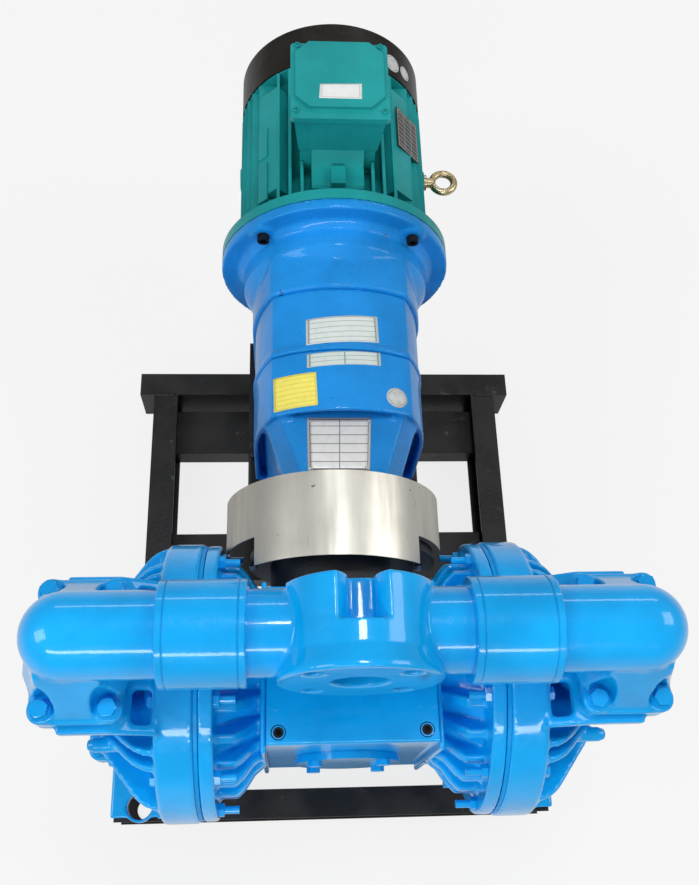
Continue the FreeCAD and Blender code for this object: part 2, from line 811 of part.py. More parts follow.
def valves():
    seats = []
    for top in (column_end_z, -column_end_z + seat_t):
        seat = tube("z", seat_r, seat_hole_r, top - seat_t, top, (column_x, 0))
        seats += [seat, flipped(seat, "x")]
    save("valve_seats", *seats)
    for kind, rim in (("discharge", column_end_z), ("suction", -column_end_z + seat_t)):
        ball = Part.makeSphere(ball_r, Vec(column_x, 0, rim + ball_rise()))
        save_pair(kind + "_ball", ball)


def fourfold(corners, centre_x):
    """A closed outline from the corners of its first quarter, mirrored both ways about centre_x."""
    quarter = list(corners)
    half = quarter + [(-x, y) for x, y in reversed(quarter)]
    whole = half + [(-x, -y) for x, y in half]
    return [(centre_x + x, y) for x, y in whole]


def elbow():
    """The upper right elbow: a domed pipe on a block that is spot-faced round each of its bolts."""
    foot_top = column_end_z + joint_flange_t
    seat_z = foot_top + joint_pad_t
    base = fourfold(elbow_base, column_x)
    waist = fourfold(elbow_waist, column_x)
    block = loft("z", base, foot_top - 1, waist, manifold_z - 3)
    block = block.cut([cylinder("z", spotface_r, seat_z, manifold_z, spot) for spot in joint_bolt_spots()])
    pads = [cylinder("z", joint_lobe_r, foot_top - 1, seat_z, spot) for spot in joint_bolt_spots()]
    elbow_end = (elbow_dome_x, 0, manifold_z)
    solid = joined([
        cylinder("x", pipe_r, elbow_start_x, elbow_dome_x, (0, manifold_z)),
        Part.makeSphere(pipe_r, Vec(*elbow_end)),
        cylinder("z", pipe_r, column_end_z, manifold_z, (column_x, 0)),
        joint_flange(column_end_z, foot_top),
        block,
    ] + pads)
    tools = [
        cylinder("x", passage_r, elbow_start_x - 1, elbow_dome_x, (0, manifold_z)),
        Part.makeSphere(passage_r, Vec(*elbow_end)),
        cylinder("z", passage_r, column_end_z - 1, manifold_z, (column_x, 0)),
    ]
    tools += joint_bolt_holes(column_end_z - 1, seat_z + 1)
    return solid.cut(tools)


def elbows():
    plain = elbow()
    stop_z = column_end_z + ball_rise() + ball_r + ball_lift + loose_gap
    stop = cylinder("z", stop_bar_t, stop_z, manifold_z + pipe_r - 4, (column_x, 0))
    save_pair("discharge_elbow", joined([plain, stop]))
    save_pair("suction_elbow", flipped(plain, "z"))
    seat = column_end_z + joint_flange_t + joint_pad_t
    bolts = []
    for spot in joint_bolt_spots():
        washer = cylinder("z", washer_r, seat, seat + washer_t, spot)
        under = column_end_z - joint_flange_t
        piece = joined([bolt("z", m10_r, m10_af, m10_head, seat + washer_t, under, spot), washer])
        bolts += [piece, flipped(piece, "x")]
    save("elbow_bolts", *bolts, *[flipped(piece, "z") for piece in bolts])


def manifold():
    """The flanged tee: a pad with four bosses behind its face, and a pipe to each side."""
    face = flange_face_y
    spots = four_ways(flange_hole_at, flange_hole_at)
    disc = turned("y", [
        (face, 0), (face, flange_r), (face + flange_rim_t, flange_r), (face + 22, body_r),
        (body_disc_back_y, body_r), (body_disc_back_y, 0),
    ])
    rear = cylinder("y", body_r, body_disc_back_y - 1, body_back_y)
    bosses = joined([cylinder("y", boss_r, body_disc_back_y - 1, body_back_y, spot) for spot in spots])
    core = cylinder("y", pipe_r, body_disc_back_y - 1, body_back_y)
    pipe = cylinder("x", pipe_r, -elbow_start_x + 1, elbow_start_x - 1)
    tools = [
        cylinder("x", passage_r, -elbow_start_x, elbow_start_x),
        cylinder("y", flange_bore_r, face - 1, 0),
    ]
    tools += [cylinder("y", flange_hole_r, face - 1, face + flange_hole_depth, spot) for spot in spots]
    return shifted(joined([disc, rear.common(bosses), core, pipe]).cut(tools), z=manifold_z)


def manifolds():
    top = manifold()
    save("discharge_manifold", top)
    save("suction_manifold", flipped(top, "z"))
    inner = pipe_r + seat_gap
    start, end = collar_start_x, collar_end_x
    ring = turned("x", [
        (start, inner), (start, collar_r - 1), (start + 1, collar_r), (start + 6, collar_r),
        (start + 7, collar_r - 1), (start + 8, collar_r), (end - 8, collar_r), (end - 7, collar_r - 1),
        (end - 6, collar_r), (end - 1, collar_r), (end, collar_r - 1), (end, inner),
    ])
    ring = shifted(ring, z=manifold_z)
    rings = [ring, flipped(ring, "x")]
    save("pipe_collars", *rings, *[flipped(piece, "z") for piece in rings])


def chamber_bolts():
    bolts = [
        bolt("x", m8_r, m8_af, m8_head, outer_ring_x, inner_flange_x, spot, chamber_thread_out)
        for spot in chamber_bolt_spots()
    ]
    save("chamber_bolts", *bolts, *[flipped(piece, "x") for piece in bolts])


def lantern():
    """The housing between pump and gearbox, with windows for reaching the coupling."""
    front, back = block_back_y, lantern_back_y
    rim_back = lantern_rim_y + lantern_flange_t
    shell = turned("y", [
        (front, lantern_r - lantern_wall), (front, lantern_r), (lantern_rim_y, lantern_r),
        (lantern_rim_y, lantern_rim_r), (rim_back, lantern_rim_r),
        (rim_back, lantern_r), (back - lantern_flange_t, lantern_r),
        (back - lantern_flange_t, lantern_rim_r), (back, lantern_rim_r), (back, lantern_r - lantern_wall),
    ])
    front_wall = cylinder("y", lantern_r - lantern_wall + 0.5, front, front + lantern_flange_t)
    front_wall = front_wall.cut(cylinder("y", crank_r + 5, front - 1, front + lantern_flange_t + 1))
    window_y = (rim_back + 3, back - lantern_flange_t - 3)
    windows = [
        box((-lantern_rim_r, lantern_rim_r), window_y, (-lantern_window_half, lantern_window_half)),
        box((-lantern_window_half, lantern_window_half), window_y, (0, lantern_rim_r)),
    ]
    save("lantern", joined([shell, front_wall]).cut(windows))


def arc_band(radius_out, radius_in, half_angle, start, end):
    """Part of a tube along Y, spread to both sides of straight up."""
    band = tube("y", radius_out, radius_in, start, end)
    far = radius_out * 3
    keep = [(0, 0)]
    steps = 8
    for k in range(steps + 1):
        degrees = 90 - half_angle + 2 * half_angle * k / steps
        keep.append(polar(far, degrees))
    return band.common(slab("y", keep, start - 1, end + 1))


def guard():
    """The sheet-metal guard wrapped over the lantern, with spacers that hold it off the rims."""
    inner = guard_r - guard_t
    sheet = joined([
        arc_band(guard_r, inner, guard_wing_angle, guard_wing_front_y, guard_back_y),
        arc_band(guard_r, inner, guard_top_angle, guard_front_y, guard_wing_front_y + 1),
    ])
    wall = shifted(cylinder("y", inner, guard_front_y, guard_back_y), x=guard_shift_x)
    rim = cylinder("y", lantern_rim_r, guard_front_y - 1, lantern_back_y + 1)
    spacers = []
    for degrees in (90 - guard_spacer_angle, 90 + guard_spacer_angle):
        ux, uz = polar(1, degrees)
        for y in (lantern_rim_y + lantern_flange_t / 2, lantern_back_y - lantern_flange_t / 2):
            foot = Vec(ux * lantern_r, y, uz * lantern_r)
            post = Part.makeCylinder(guard_spacer_r, guard_r, foot, Vec(ux, 0, uz))
            spacers.append(post.common(wall).cut(rim))
    save("coupling_guard", shifted(sheet, x=guard_shift_x), *spacers)


def sector(centre, half_angle, start, end):
    """A wedge of a disc about the crank axis."""
    spread = [polar(2 * coupling_r, centre + a) for a in (-half_angle, 0, half_angle)]
    outline = [polar(2, centre - half_angle), *spread, polar(2, centre + half_angle)]
    return slab("y", outline, start, end)


def coupling():
    """A jaw coupling: a hub on each shaft and an elastic spider between them."""
    jaw_front = coupling_jaw_y
    jaw_back = coupling_jaw_y + jaw_l
    jaw_ring = tube("y", coupling_r - 2, jaw_inner_r, jaw_front, jaw_back)
    pump_jaws = [90, 210, 330]
    gearbox_jaws = [30, 150, 270]

    def hub(angles, start, end, bore_r):
        jaws = [sector(angle, jaw_half_angle, jaw_front, jaw_back).common(jaw_ring) for angle in angles]
        body = joined([cylinder("y", coupling_r, start, end)] + jaws)
        return body.cut(cylinder("y", bore_r, start - 1, end + 1))

    save("coupling_hub_pump", hub(pump_jaws, jaw_front - coupling_half_l, jaw_front, crank_r))
    save("coupling_hub_gearbox", hub(gearbox_jaws, jaw_back, jaw_back + coupling_half_l, output_shaft_r))
    spider = tube("y", coupling_r - 3, jaw_inner_r - 2, jaw_front + spider_play, jaw_back - spider_play)
    core = cylinder("y", jaw_inner_r - 0.2, jaw_front, jaw_back)
    room = jaw_half_angle + 1
    gaps = [sector(angle, room, jaw_front, jaw_back).cut(core) for angle in pump_jaws + gearbox_jaws]
    save("coupling_spider", spider.cut(gaps))


def gear(teeth, start, end, tooth_angle, centre_z=0.0):
    """A spur gear about an axis along Y, with one tooth centred at an angle from +X towards +Z."""
    pressure_angle = math.radians(20)
    pitch_r = gear_module * teeth / 2
    base_r = pitch_r * math.cos(pressure_angle)
    outer_r = pitch_r + 0.9 * gear_module
    root_r = pitch_r - 1.2 * gear_module
    involute = math.tan(pressure_angle) - pressure_angle
    half_tooth = math.pi / (2 * teeth) - gear_backlash / (2 * pitch_r) + involute

    def half_angle(radius):
        pressure = math.acos(min(1.0, base_r / radius)) if radius > base_r else 0.0
        return math.degrees(half_tooth - (math.tan(pressure) - pressure))

    low = half_angle(root_r)
    high = half_angle(outer_r)
    points = []
    for k in range(teeth):
        centre = tooth_angle + 360 * k / teeth
        for radius, spread in ((root_r, -low), (outer_r, -high), (outer_r, high), (root_r, low)):
            points.append(polar(radius, centre + spread))
    return shifted(slab("y", points, start, end), z=centre_z)


def octagon(half_x, top, bottom, top_half_x):
    """The nose's section: flat top and sides with bevelled corners."""
    drop = corner_drop
    low_half = half_x - drop
    return [
        (-half_x, bottom + drop), (-half_x, top - drop), (-top_half_x, top), (top_half_x, top),
        (half_x, top - drop), (half_x, bottom + drop), (low_half, bottom), (-low_half, bottom),
    ]


def gearbox_length(grow, start, end):
    """A length of the gearbox's section: a crowned top that rolls over into upright sides."""
    half = box_half_x + grow
    top = box_top_z + grow
    bottom = box_bottom_z - grow
    crown = (crown_half_x + 0.7 * grow, box_top_z - crown_drop + 0.7 * grow)
    flank = (flank_x + 0.9 * grow, box_top_z - flank_drop + 0.4 * grow)
    side_z = box_top_z - side_drop
    corner_z = bottom + corner_drop
    low_half = half - corner_drop

    def at(x, z):
        return Vec(x, start, z)

    edges = [
        Part.Arc(at(-crown[0], crown[1]), at(0, top), at(*crown)).toShape(),
        Part.Arc(at(*crown), at(*flank), at(half, side_z)).toShape(),
        Part.makeLine(at(half, side_z), at(half, corner_z)),
        Part.makeLine(at(half, corner_z), at(low_half, bottom)),
        Part.makeLine(at(low_half, bottom), at(-low_half, bottom)),
        Part.makeLine(at(-low_half, bottom), at(-half, corner_z)),
        Part.makeLine(at(-half, corner_z), at(-half, side_z)),
        Part.Arc(at(-half, side_z), at(-flank[0], flank[1]), at(-crown[0], crown[1])).toShape(),
    ]
    return Part.Face(Part.Wire(edges)).extrude(AXES["y"] * (end - start))


def output_housing():
    """The output end: a box whose front is recessed round the nose that holds the output bearings."""
    foot_half = gearbox_foot_half_x
    nose_end = recess_end_y + 1
    nose = loft("y", octagon(*nose_front), lantern_back_y, octagon(*nose_back), nose_end)
    shell = gearbox_length(0, box_front_y, output_end_y)
    shell = shell.cut(gearbox_length(-rim_wall, box_front_y - 1, recess_end_y))
    shell = joined([
        shell,
        nose.common(gearbox_length(0, lantern_back_y, nose_end)),
        box((-foot_half, foot_half), gearbox_foot_y, (gearbox_foot_z, gearbox_foot_z + foot_t)),
        box((-gearbox_web_x, gearbox_web_x), gearbox_foot_y, (gearbox_foot_z, nose_front[2])),
    ])
    wall_front, wall_back = bearing_wall_y
    bore_end = output_bearing_y + output_bearing_w
    room_end = recess_end_y + box_wall
    tools = [
        slab("y", octagon(*nose_room), wall_back, room_end + 1),
        gearbox_length(-box_wall, room_end, output_end_y + 1),
        cylinder("y", output_shaft_r + shaft_room, lantern_back_y - 1, wall_back),
        cylinder("y", output_bearing_r + seat_gap, output_bearing_y, bore_end),
        cylinder("y", output_bearing_r - 6, bore_end, wall_front),
        cylinder("y", output_bearing_r + seat_gap, wall_back - output_bearing_w, wall_back + 1),
        cylinder("y", layshaft_bearing_r + seat_gap, wall_back - layshaft_bearing_w, wall_back + 1,
                 (0, -shaft_centres)),
    ]
    low, high = gearbox_foot_z - 1, gearbox_foot_z + foot_t + 1
    for side in (-1, 1):
        for y in gearbox_bolt_ys:
            tools.append(cylinder("z", m12_r + bolt_gap, low, high, (side * gearbox_bolt_x, y)))
    save("output_housing", shell.cut(tools))


def middle_housing():
    outer = joined([
        gearbox_length(-1, output_end_y, middle_end_y),
        gearbox_length(lip - 1, output_end_y, output_end_y + lip_w),
    ])
    save("middle_housing", outer.cut(gearbox_length(-box_wall, output_end_y - 1, middle_end_y + 1)))


def motor_adapter():
    """The casting that widens from the gearbox's section to the motor's round flange."""
    neck = adapter_neck_y
    drum = adapter_drum_r
    drum_y = adapter_drum_y
    flange_front = motor_face_y - motor_flange_t
    flare = turned("y", [
        (neck, 0), (neck, box_top_z + adapter_proud), (drum_y, drum), (flange_front - 8, drum),
        (flange_front, drum + 8), (flange_front, motor_flange_r), (motor_face_y, motor_flange_r),
        (motor_face_y, 0),
    ])
    bosses = joined([
        cylinder("y", motor_boss_r, flange_front - motor_boss_h, motor_face_y - 2, spot)
        for spot in motor_bolt_spots()
    ])
    outer = joined([gearbox_length(adapter_proud, middle_end_y, drum_y), flare, bosses])
    wall_back = middle_end_y + adapter_wall_t
    hollow_r = motor_spigot_r - 15
    tools = [
        turned("y", [
            (wall_back, 0), (wall_back, hollow_r - 20), (neck, hollow_r), (motor_face_y + 1, hollow_r),
            (motor_face_y + 1, 0),
        ]),
        cylinder("y", seal_bore_r, middle_end_y - 1, wall_back + 1),
        cylinder("y", layshaft_bearing_r + seat_gap, middle_end_y - 1, middle_end_y + layshaft_bearing_w,
                 (0, -shaft_centres)),
        cylinder("y", motor_spigot_r, motor_face_y - motor_spigot_l - 0.5, motor_face_y + 1),
    ]
    seat = flange_front - motor_boss_h
    tools += motor_bolt_holes(seat - 1, motor_face_y + 1)
    tools += [
        cylinder("y", motor_screw_head_r + 1, seat - motor_screw_head - 1, seat, spot)
        for spot in motor_bolt_spots()
    ]
    save("motor_adapter", outer.cut(tools))


def motor_bolt_spots():
    return [polar(motor_bolt_pcr, 45 + 90 * k) for k in range(4)]


def motor_bolt_holes(start, end):
    return [cylinder("y", motor_screw_r + bolt_gap, start, end, spot) for spot in motor_bolt_spots()]


def motor_bolts():
    """Socket screws through both flanges, with a nut behind the motor's."""
    seat = motor_face_y - motor_flange_t - motor_boss_h
    back = motor_face_y + motor_flange_t
    head_front = seat - motor_screw_head
    nut_end = back + nut_share * motor_screw_r
    screws = []
    for spot in motor_bolt_spots():
        head = cylinder("y", motor_screw_head_r, head_front, seat, spot)
        key = hexagon("y", motor_screw_key_af, head_front - 1, head_front + motor_screw_key_depth, spot)
        screws.append(joined([
            head.cut(key),
            cylinder("y", motor_screw_r, seat, nut_end + thread_out, spot),
            hexagon("y", motor_screw_af, back, nut_end, spot),
        ]))
    save("motor_bolts", *screws)


def gear_train():
    """Two stages of spur gears: motor pinion to layshaft wheel, layshaft pinion to output wheel."""
    low = -shaft_centres
    half_pitch = 180 / wheel_teeth
    out_start, out_end = output_wheel_y
    lay_start, lay_end = layshaft_wheel_y
    wheel = gear(wheel_teeth, out_start, out_end, -90 + half_pitch)
    save("output_gear", wheel.cut(cylinder("y", output_shaft_r, out_start - 1, out_end + 1)))
    save("output_shaft", cylinder("y", output_shaft_r, coupling_jaw_y + jaw_l, out_end + 4))
    wall_back = bearing_wall_y[1]
    bearing_w = layshaft_bearing_w
    shaft = cylinder("y", layshaft_r, wall_back - bearing_w, middle_end_y + bearing_w, (0, low))
    save("layshaft", joined([shaft, gear(pinion_teeth, out_start - 1, out_end + 3, 90, low)]))
    wheel = gear(wheel_teeth, lay_start, lay_end, 90 + half_pitch, low)
    save("layshaft_gear", wheel.cut(cylinder("y", layshaft_r, lay_start - 1, lay_end + 1, (0, low))))
    save("motor_pinion", joined([
        gear(pinion_teeth, lay_start - 1, lay_end + 2, -90),
        cylinder("y", pinion_shank_r, lay_end, rotor_start_y + pinion_shank_l),
    ]))
    bearings = [
        tube("y", output_bearing_r, output_shaft_r + running_gap, start, start + output_bearing_w)
        for start in (output_bearing_y, wall_back - output_bearing_w)
    ]
    bearings += [
        tube("y", layshaft_bearing_r, layshaft_r + running_gap, start, start + layshaft_bearing_w, (0, low))
        for start in (wall_back - layshaft_bearing_w, middle_end_y)
    ]
    save("gearbox_bearings", *bearings)


def endshields():
    face, back = motor_face_y, motor_face_y + motor_flange_t
    spigot_r = motor_spigot_r - seat_gap
    drive = turned("y", [
        (face - motor_spigot_l, 0), (face - motor_spigot_l, spigot_r), (face, spigot_r),
        (face, motor_flange_r), (back, motor_flange_r), (back, fin_r - 5), (frame_start_y, fin_r - 9),
        (frame_start_y, 0),
    ])
    drive = drive.cut([
        cylinder("y", motor_bearing_r + seat_gap, frame_start_y - motor_bearing_w, frame_start_y + 1),
        cylinder("y", motor_shaft_r + shaft_room, face - motor_spigot_l - 1, frame_start_y),
    ] + motor_bolt_holes(face - 1, back + 1))
    save("drive_endshield", drive)
    rim_r = fan_cover_r - fan_cover_t - seat_gap
    rim_end = frame_end_y + 12
    hub_end = rim_end + 4
    rear = turned("y", [
        (frame_end_y, 0), (frame_end_y, rim_r), (rim_end, rim_r), (rim_end, motor_bearing_r + 24),
        (hub_end, motor_bearing_r + 12), (hub_end, 0),
    ])
    rear = rear.cut([
        cylinder("y", motor_bearing_r + seat_gap, frame_end_y - 1, frame_end_y + motor_bearing_w),
        cylinder("y", motor_shaft_r + shaft_room, frame_end_y, hub_end + 1),
    ])
    save("rear_endshield", rear)
    save("motor_bearings", *[
        tube("y", motor_bearing_r, motor_shaft_r + running_gap, start, start + motor_bearing_w)
        for start in (frame_start_y - motor_bearing_w, frame_end_y)
    ])


def rotor_and_stator():
    save("stator", tube("y", stator_r, stator_bore_r, *core_y))
    rotor = joined([
        cylinder("y", motor_shaft_r, rotor_start_y, fan_y[1] + 4),
        cylinder("y", rotor_r, *core_y),
    ])
    socket_end = rotor_start_y + pinion_shank_l
    save("rotor", rotor.cut(cylinder("y", pinion_shank_r, rotor_start_y - 1, socket_end)))


def fan():
    start, end = fan_y
    hub = cylinder("y", motor_shaft_r + 11, start, end)
    disc = cylinder("y", fan_r, start, start + 3)
    blade = box((motor_shaft_r + 9, fan_r), (start + 1, end), (-1.5, 1.5))
    blades = [spun(blade, "y", 360 * k / fan_blades) for k in range(fan_blades)]
    wheel = joined([hub, disc] + blades)
    save("cooling_fan", wheel.cut(cylinder("y", motor_shaft_r, start - 1, end + 1)))


def motor_frame():
    """The finned aluminium frame, with the saddle under the terminal box and the keyed pad before it."""
    start, end = frame_start_y, frame_end_y
    half_t = fin_t / 2
    root = stator_r - 16
    pieces = [cylinder("y", frame_r, start, end)]
    for k in range(-fins_each_side, fins_each_side + 1):
        offset = k * fin_pitch
        edge = abs(offset) + half_t
        span = (math.sqrt(frame_r ** 2 - edge ** 2) - 2, math.sqrt(fin_r ** 2 - edge ** 2))
        level = (offset - half_t, offset + half_t)
        side = box(span, (start, end), level)
        upright = box(level, (start, end), span)
        pieces += [side, flipped(side, "x"), flipped(upright, "z")]
        if abs(offset) > saddle_half_x:
            pieces.append(upright)
            continue
        pieces.append(box(level, (terminal_y[1] + 4, end), span))
        if abs(offset) > pad_half_x:
            pieces.append(box(level, (start, pad_y[1]), span))
    across = (corner_pad_half - corner_panel_w, corner_pad_half - 1)
    for degrees in (45, 135):
        pad = box((frame_r - 4, fin_r - 2), (start + 22, end - 22), (-corner_pad_half, corner_pad_half))
        pieces.append(spun(pad, "y", -degrees))
    pieces += [spun(box((fin_r - 3, fin_r), ys, across), "y", -135) for ys in corner_panel_ys]
    saddle_y = (terminal_y[0] + 12, terminal_y[1] - 6)
    pieces.append(box((-saddle_half_x, saddle_half_x), saddle_y, (root, terminal_base_z)))
    pieces.append(slab("x", [
        (pad_y[0], root), (pad_y[0], pad_top_z - 3), (pad_y[0] + 3, pad_top_z), (pad_slope_y, pad_top_z),
        (pad_y[1], terminal_base_z), (saddle_y[0] + 1, terminal_base_z), (saddle_y[0] + 1, root),
    ], -pad_half_x, pad_half_x))
    key_y = (pad_y[0], pad_y[0] + 3 * pad_key_half)
    pieces.append(box((-pad_key_half, pad_key_half), key_y, (root, pad_top_z + pad_key_h)))
    boss = cylinder("x", eye_boss_r, root + 6, eye_seat_x, (eye_y, 0))
    body = joined(pieces + [boss, flipped(boss, "x")])
    save("motor_frame", body.cut(cylinder("y", stator_r + seat_gap, start - 1, end + 1)))


def eyebolt():
    """The lifting eye screwed into the boss on the right."""
    centre = Vec(eye_seat_x + eye_neck_l + eye_r, eye_y, 0)
    ring = Part.makeTorus(eye_r - eye_wire_r, eye_wire_r, centre, AXES["z"])
    collar = cylinder("x", eye_collar_r, eye_seat_x, eye_seat_x + eye_collar_t, (eye_y, 0))
    neck = cylinder("x", eye_neck_r, eye_seat_x, eye_seat_x + eye_neck_l + eye_wire_r, (eye_y, 0))
    hole_r = eye_r - 2 * eye_wire_r
    neck = neck.cut(Part.makeCylinder(hole_r + 0.5, 4 * eye_wire_r, centre - AXES["z"] * 2 * eye_wire_r))
    save("eyebolt", joined([ring, collar, neck]))


def fan_cover():
    """The pressed cowl over the fan, with rings of slots in its end."""
    start, end = fan_cover_start_y, cover_end_y
    bevel = cover_bevel
    cup = turned("y", [
        (start, fan_cover_r - fan_cover_t), (start, fan_cover_r), (end - bevel, fan_cover_r),
        (end, fan_cover_r - bevel), (end, 0), (end - fan_cover_t, 0),
        (end - fan_cover_t, fan_cover_r - bevel - 1),
        (end - bevel - 1, fan_cover_r - fan_cover_t),
    ])
    slots = [
        tube("y", inner + grille_slot_w, inner, end - 2 * fan_cover_t, end + 1)
        for inner in (grille_inner_r + grille_pitch * k for k in range(grille_rings))
    ]
    reach = grille_inner_r + grille_pitch * grille_rings
    bars = [
        spun(box((grille_inner_r - 10, reach), (end - 2 * fan_cover_t - 1, end + 2), (-3, 3)), "y", 60 * k)
        for k in range(6)
    ]
    save("fan_cover", cup.cut(joined(slots).cut(bars)))


def terminal_box():
    half_x, ys, top = terminal_half_x, terminal_y, terminal_top_z
    cover_low = top - terminal_cover_t
    floor = terminal_base_z
    inset = terminal_inset

    def shrunk(by):
        return rectangle(half_x - by, (ys[0] + by, ys[1] - by))

    outer = loft("z", shrunk(inset + terminal_taper), floor, shrunk(inset), cover_low)
    wall = terminal_inset + terminal_wall
    inner = loft("z", shrunk(wall + terminal_taper), floor + terminal_wall, shrunk(wall), cover_low + 1)
    save("terminal_box", outer.cut(inner))
    lid = box((-half_x, half_x), ys, (cover_low, top - panel_t))
    corners = [edge for edge in lid.Edges if abs(edge.tangentAt(edge.FirstParameter).z) > 0.9]
    lid = lid.makeFillet(terminal_corner_r, corners)
    bevel = panel_bevel
    low_y, high_y = ys[0] + panel_front_margin, ys[1]
    half = half_x - panel_margin
    panel = slab("z", [
        (bevel - half, low_y), (half - bevel, low_y), (half, low_y + bevel), (half, high_y - bevel),
        (half - bevel, high_y), (bevel - half, high_y), (-half, high_y - bevel), (-half, low_y + bevel),
    ], top - panel_t - 1, top)
    save("terminal_cover", joined([lid, panel]))


def main():
    base_frame()
    foot_bolts()
    centre_block()
    crank_cover()
    block_screws()
    crankshaft()
    yoke()
    diaphragms()
    inner_chamber()
    outer_chamber()
    valves()
    elbows()
    manifolds()
    chamber_bolts()
    lantern()
    guard()
    coupling()
    output_housing()
    middle_housing()
    motor_adapter()
    motor_bolts()
    gear_train()
    endshields()
    rotor_and_stator()
    fan()
    motor_frame()
    eyebolt()
    fan_cover()
    terminal_box()


main()
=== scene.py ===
import math
import bmesh
import bpy
from mathutils import Matrix, Vector
from mathutils.bvhtree import BVHTree


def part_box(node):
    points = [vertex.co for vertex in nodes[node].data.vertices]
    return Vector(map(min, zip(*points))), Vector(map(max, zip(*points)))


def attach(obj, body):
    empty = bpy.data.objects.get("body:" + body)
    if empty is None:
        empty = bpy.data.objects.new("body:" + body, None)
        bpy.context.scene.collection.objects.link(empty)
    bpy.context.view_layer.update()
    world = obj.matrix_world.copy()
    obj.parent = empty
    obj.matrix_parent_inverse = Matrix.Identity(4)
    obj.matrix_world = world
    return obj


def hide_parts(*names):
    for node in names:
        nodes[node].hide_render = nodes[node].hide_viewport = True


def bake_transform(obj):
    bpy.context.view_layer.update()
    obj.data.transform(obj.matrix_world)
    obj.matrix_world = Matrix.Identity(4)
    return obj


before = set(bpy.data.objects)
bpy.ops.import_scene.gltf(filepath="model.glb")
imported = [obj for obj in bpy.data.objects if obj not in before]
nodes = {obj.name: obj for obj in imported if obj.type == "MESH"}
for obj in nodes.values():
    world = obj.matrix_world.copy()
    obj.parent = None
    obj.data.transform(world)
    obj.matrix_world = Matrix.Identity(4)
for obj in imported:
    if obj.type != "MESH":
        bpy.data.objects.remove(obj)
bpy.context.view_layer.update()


# Floor, lamps and camera
# The pump stands on a white studio floor. Two long strip lamps, one low behind it and one in
# front, leave the crisp streaks along its pipes, and soft lamps on both sides light the rest.
class Flow:
    """A value on its way between shader nodes: sums written on it add Math nodes."""

    def __init__(self, tree, socket):
        self.tree = tree
        self.socket = socket

    def math(self, operation, *values, clamp=False):
        node = self.tree.nodes.new("ShaderNodeMath")
        node.operation = operation
        node.use_clamp = clamp
        for slot, value in zip(node.inputs, values):
            if isinstance(value, Flow):
                self.tree.links.new(value.socket, slot)
            else:
                slot.default_value = value
        return Flow(self.tree, node.outputs[0])

    def __add__(self, other):
        return self.math("ADD", self, other)

    def __sub__(self, other):
        return self.math("SUBTRACT", self, other)

    def __rsub__(self, other):
        return self.math("SUBTRACT", other, self)

    def __mul__(self, other):
        return self.math("MULTIPLY", self, other)

    def __gt__(self, other):
        return self.math("GREATER_THAN", self, other)

    def __lt__(self, other):
        return self.math("LESS_THAN", self, other)

    __radd__ = __add__
    __rmul__ = __mul__

    def between(self, low, high):
        """0 below low, 1 above high, straight between."""
        return self.math("MULTIPLY", self - low, 1 / (high - low), clamp=True)


class Finish:
    """A material for the object's surfaces. Its patterns are laid out in metres on the piece itself."""

    def __init__(self, name):
        self.material = bpy.data.materials.new(name)
        self.material.use_nodes = True
        self.tree = self.material.node_tree
        self.surface = self.tree.nodes["Principled BSDF"]
        self.place = self.node("TexCoord", output="Object")

    def node(self, kind, settings=None, output=0, **sockets):
        node = self.tree.nodes.new("ShaderNode" + kind)
        for name, value in (settings or {}).items():
            setattr(node, name, value)
        for name, value in sockets.items():
            self.feed(node.inputs[name.replace("_", " ")], value)
        return Flow(self.tree, node.outputs[output])

    def feed(self, slot, value):
        if isinstance(value, Flow):
            self.tree.links.new(value.socket, slot)
        elif isinstance(value, tuple) and len(value) == 3 and slot.type == "RGBA":
            slot.default_value = (*value, 1)
        else:
            slot.default_value = value

    def part(self, axis, source=None):
        """One coordinate of a place or direction."""
        return self.node("SeparateXYZ", output=axis, Vector=source or self.place)

    def vector(self, x, y, z):
        return self.node("CombineXYZ", X=x, Y=y, Z=z)

    def noise(self, scale, detail=3, place=None):
        return self.node("TexNoise", Vector=place or self.place, Scale=scale, Detail=detail)

    def mix(self, share, first, second):
        node = self.tree.nodes.new("ShaderNodeMix")
        node.data_type = "RGBA"
        for index, value in ((0, share), (6, first), (7, second)):
            self.feed(node.inputs[index], value)
        return Flow(self.tree, node.outputs[2])

    def bump(self, height, depth, normal=None):
        sockets = {"Height": height, "Distance": depth}
        if normal:
            sockets["Normal"] = normal
        return self.node("Bump", **sockets)

    def set(self, **sockets):
        for name, value in sockets.items():
            self.feed(self.surface.inputs[name.replace("_", " ")], value)
        return self.material


def show_white(tree, shaded, share, mirrored):
    """Mixes plain white by one share into what the camera sees, and by another into what gloss mirrors."""
    rays = tree.nodes.new("ShaderNodeLightPath")
    seen = Flow(tree, rays.outputs["Is Camera Ray"])
    seen = seen.math("MAXIMUM", seen, Flow(tree, rays.outputs["Is Transmission Ray"])) * share
    seen = seen.math("MAXIMUM", seen, Flow(tree, rays.outputs["Is Glossy Ray"]) * mirrored)
    white = tree.nodes.new("ShaderNodeEmission")
    blend = tree.nodes.new("ShaderNodeMixShader")
    output = next(node for node in tree.nodes if node.type.startswith("OUTPUT"))
    tree.links.new(seen.socket, blend.inputs[0])
    tree.links.new(shaded, blend.inputs[1])
    tree.links.new(white.outputs[0], blend.inputs[2])
    tree.links.new(blend.outputs[0], output.inputs["Surface"])


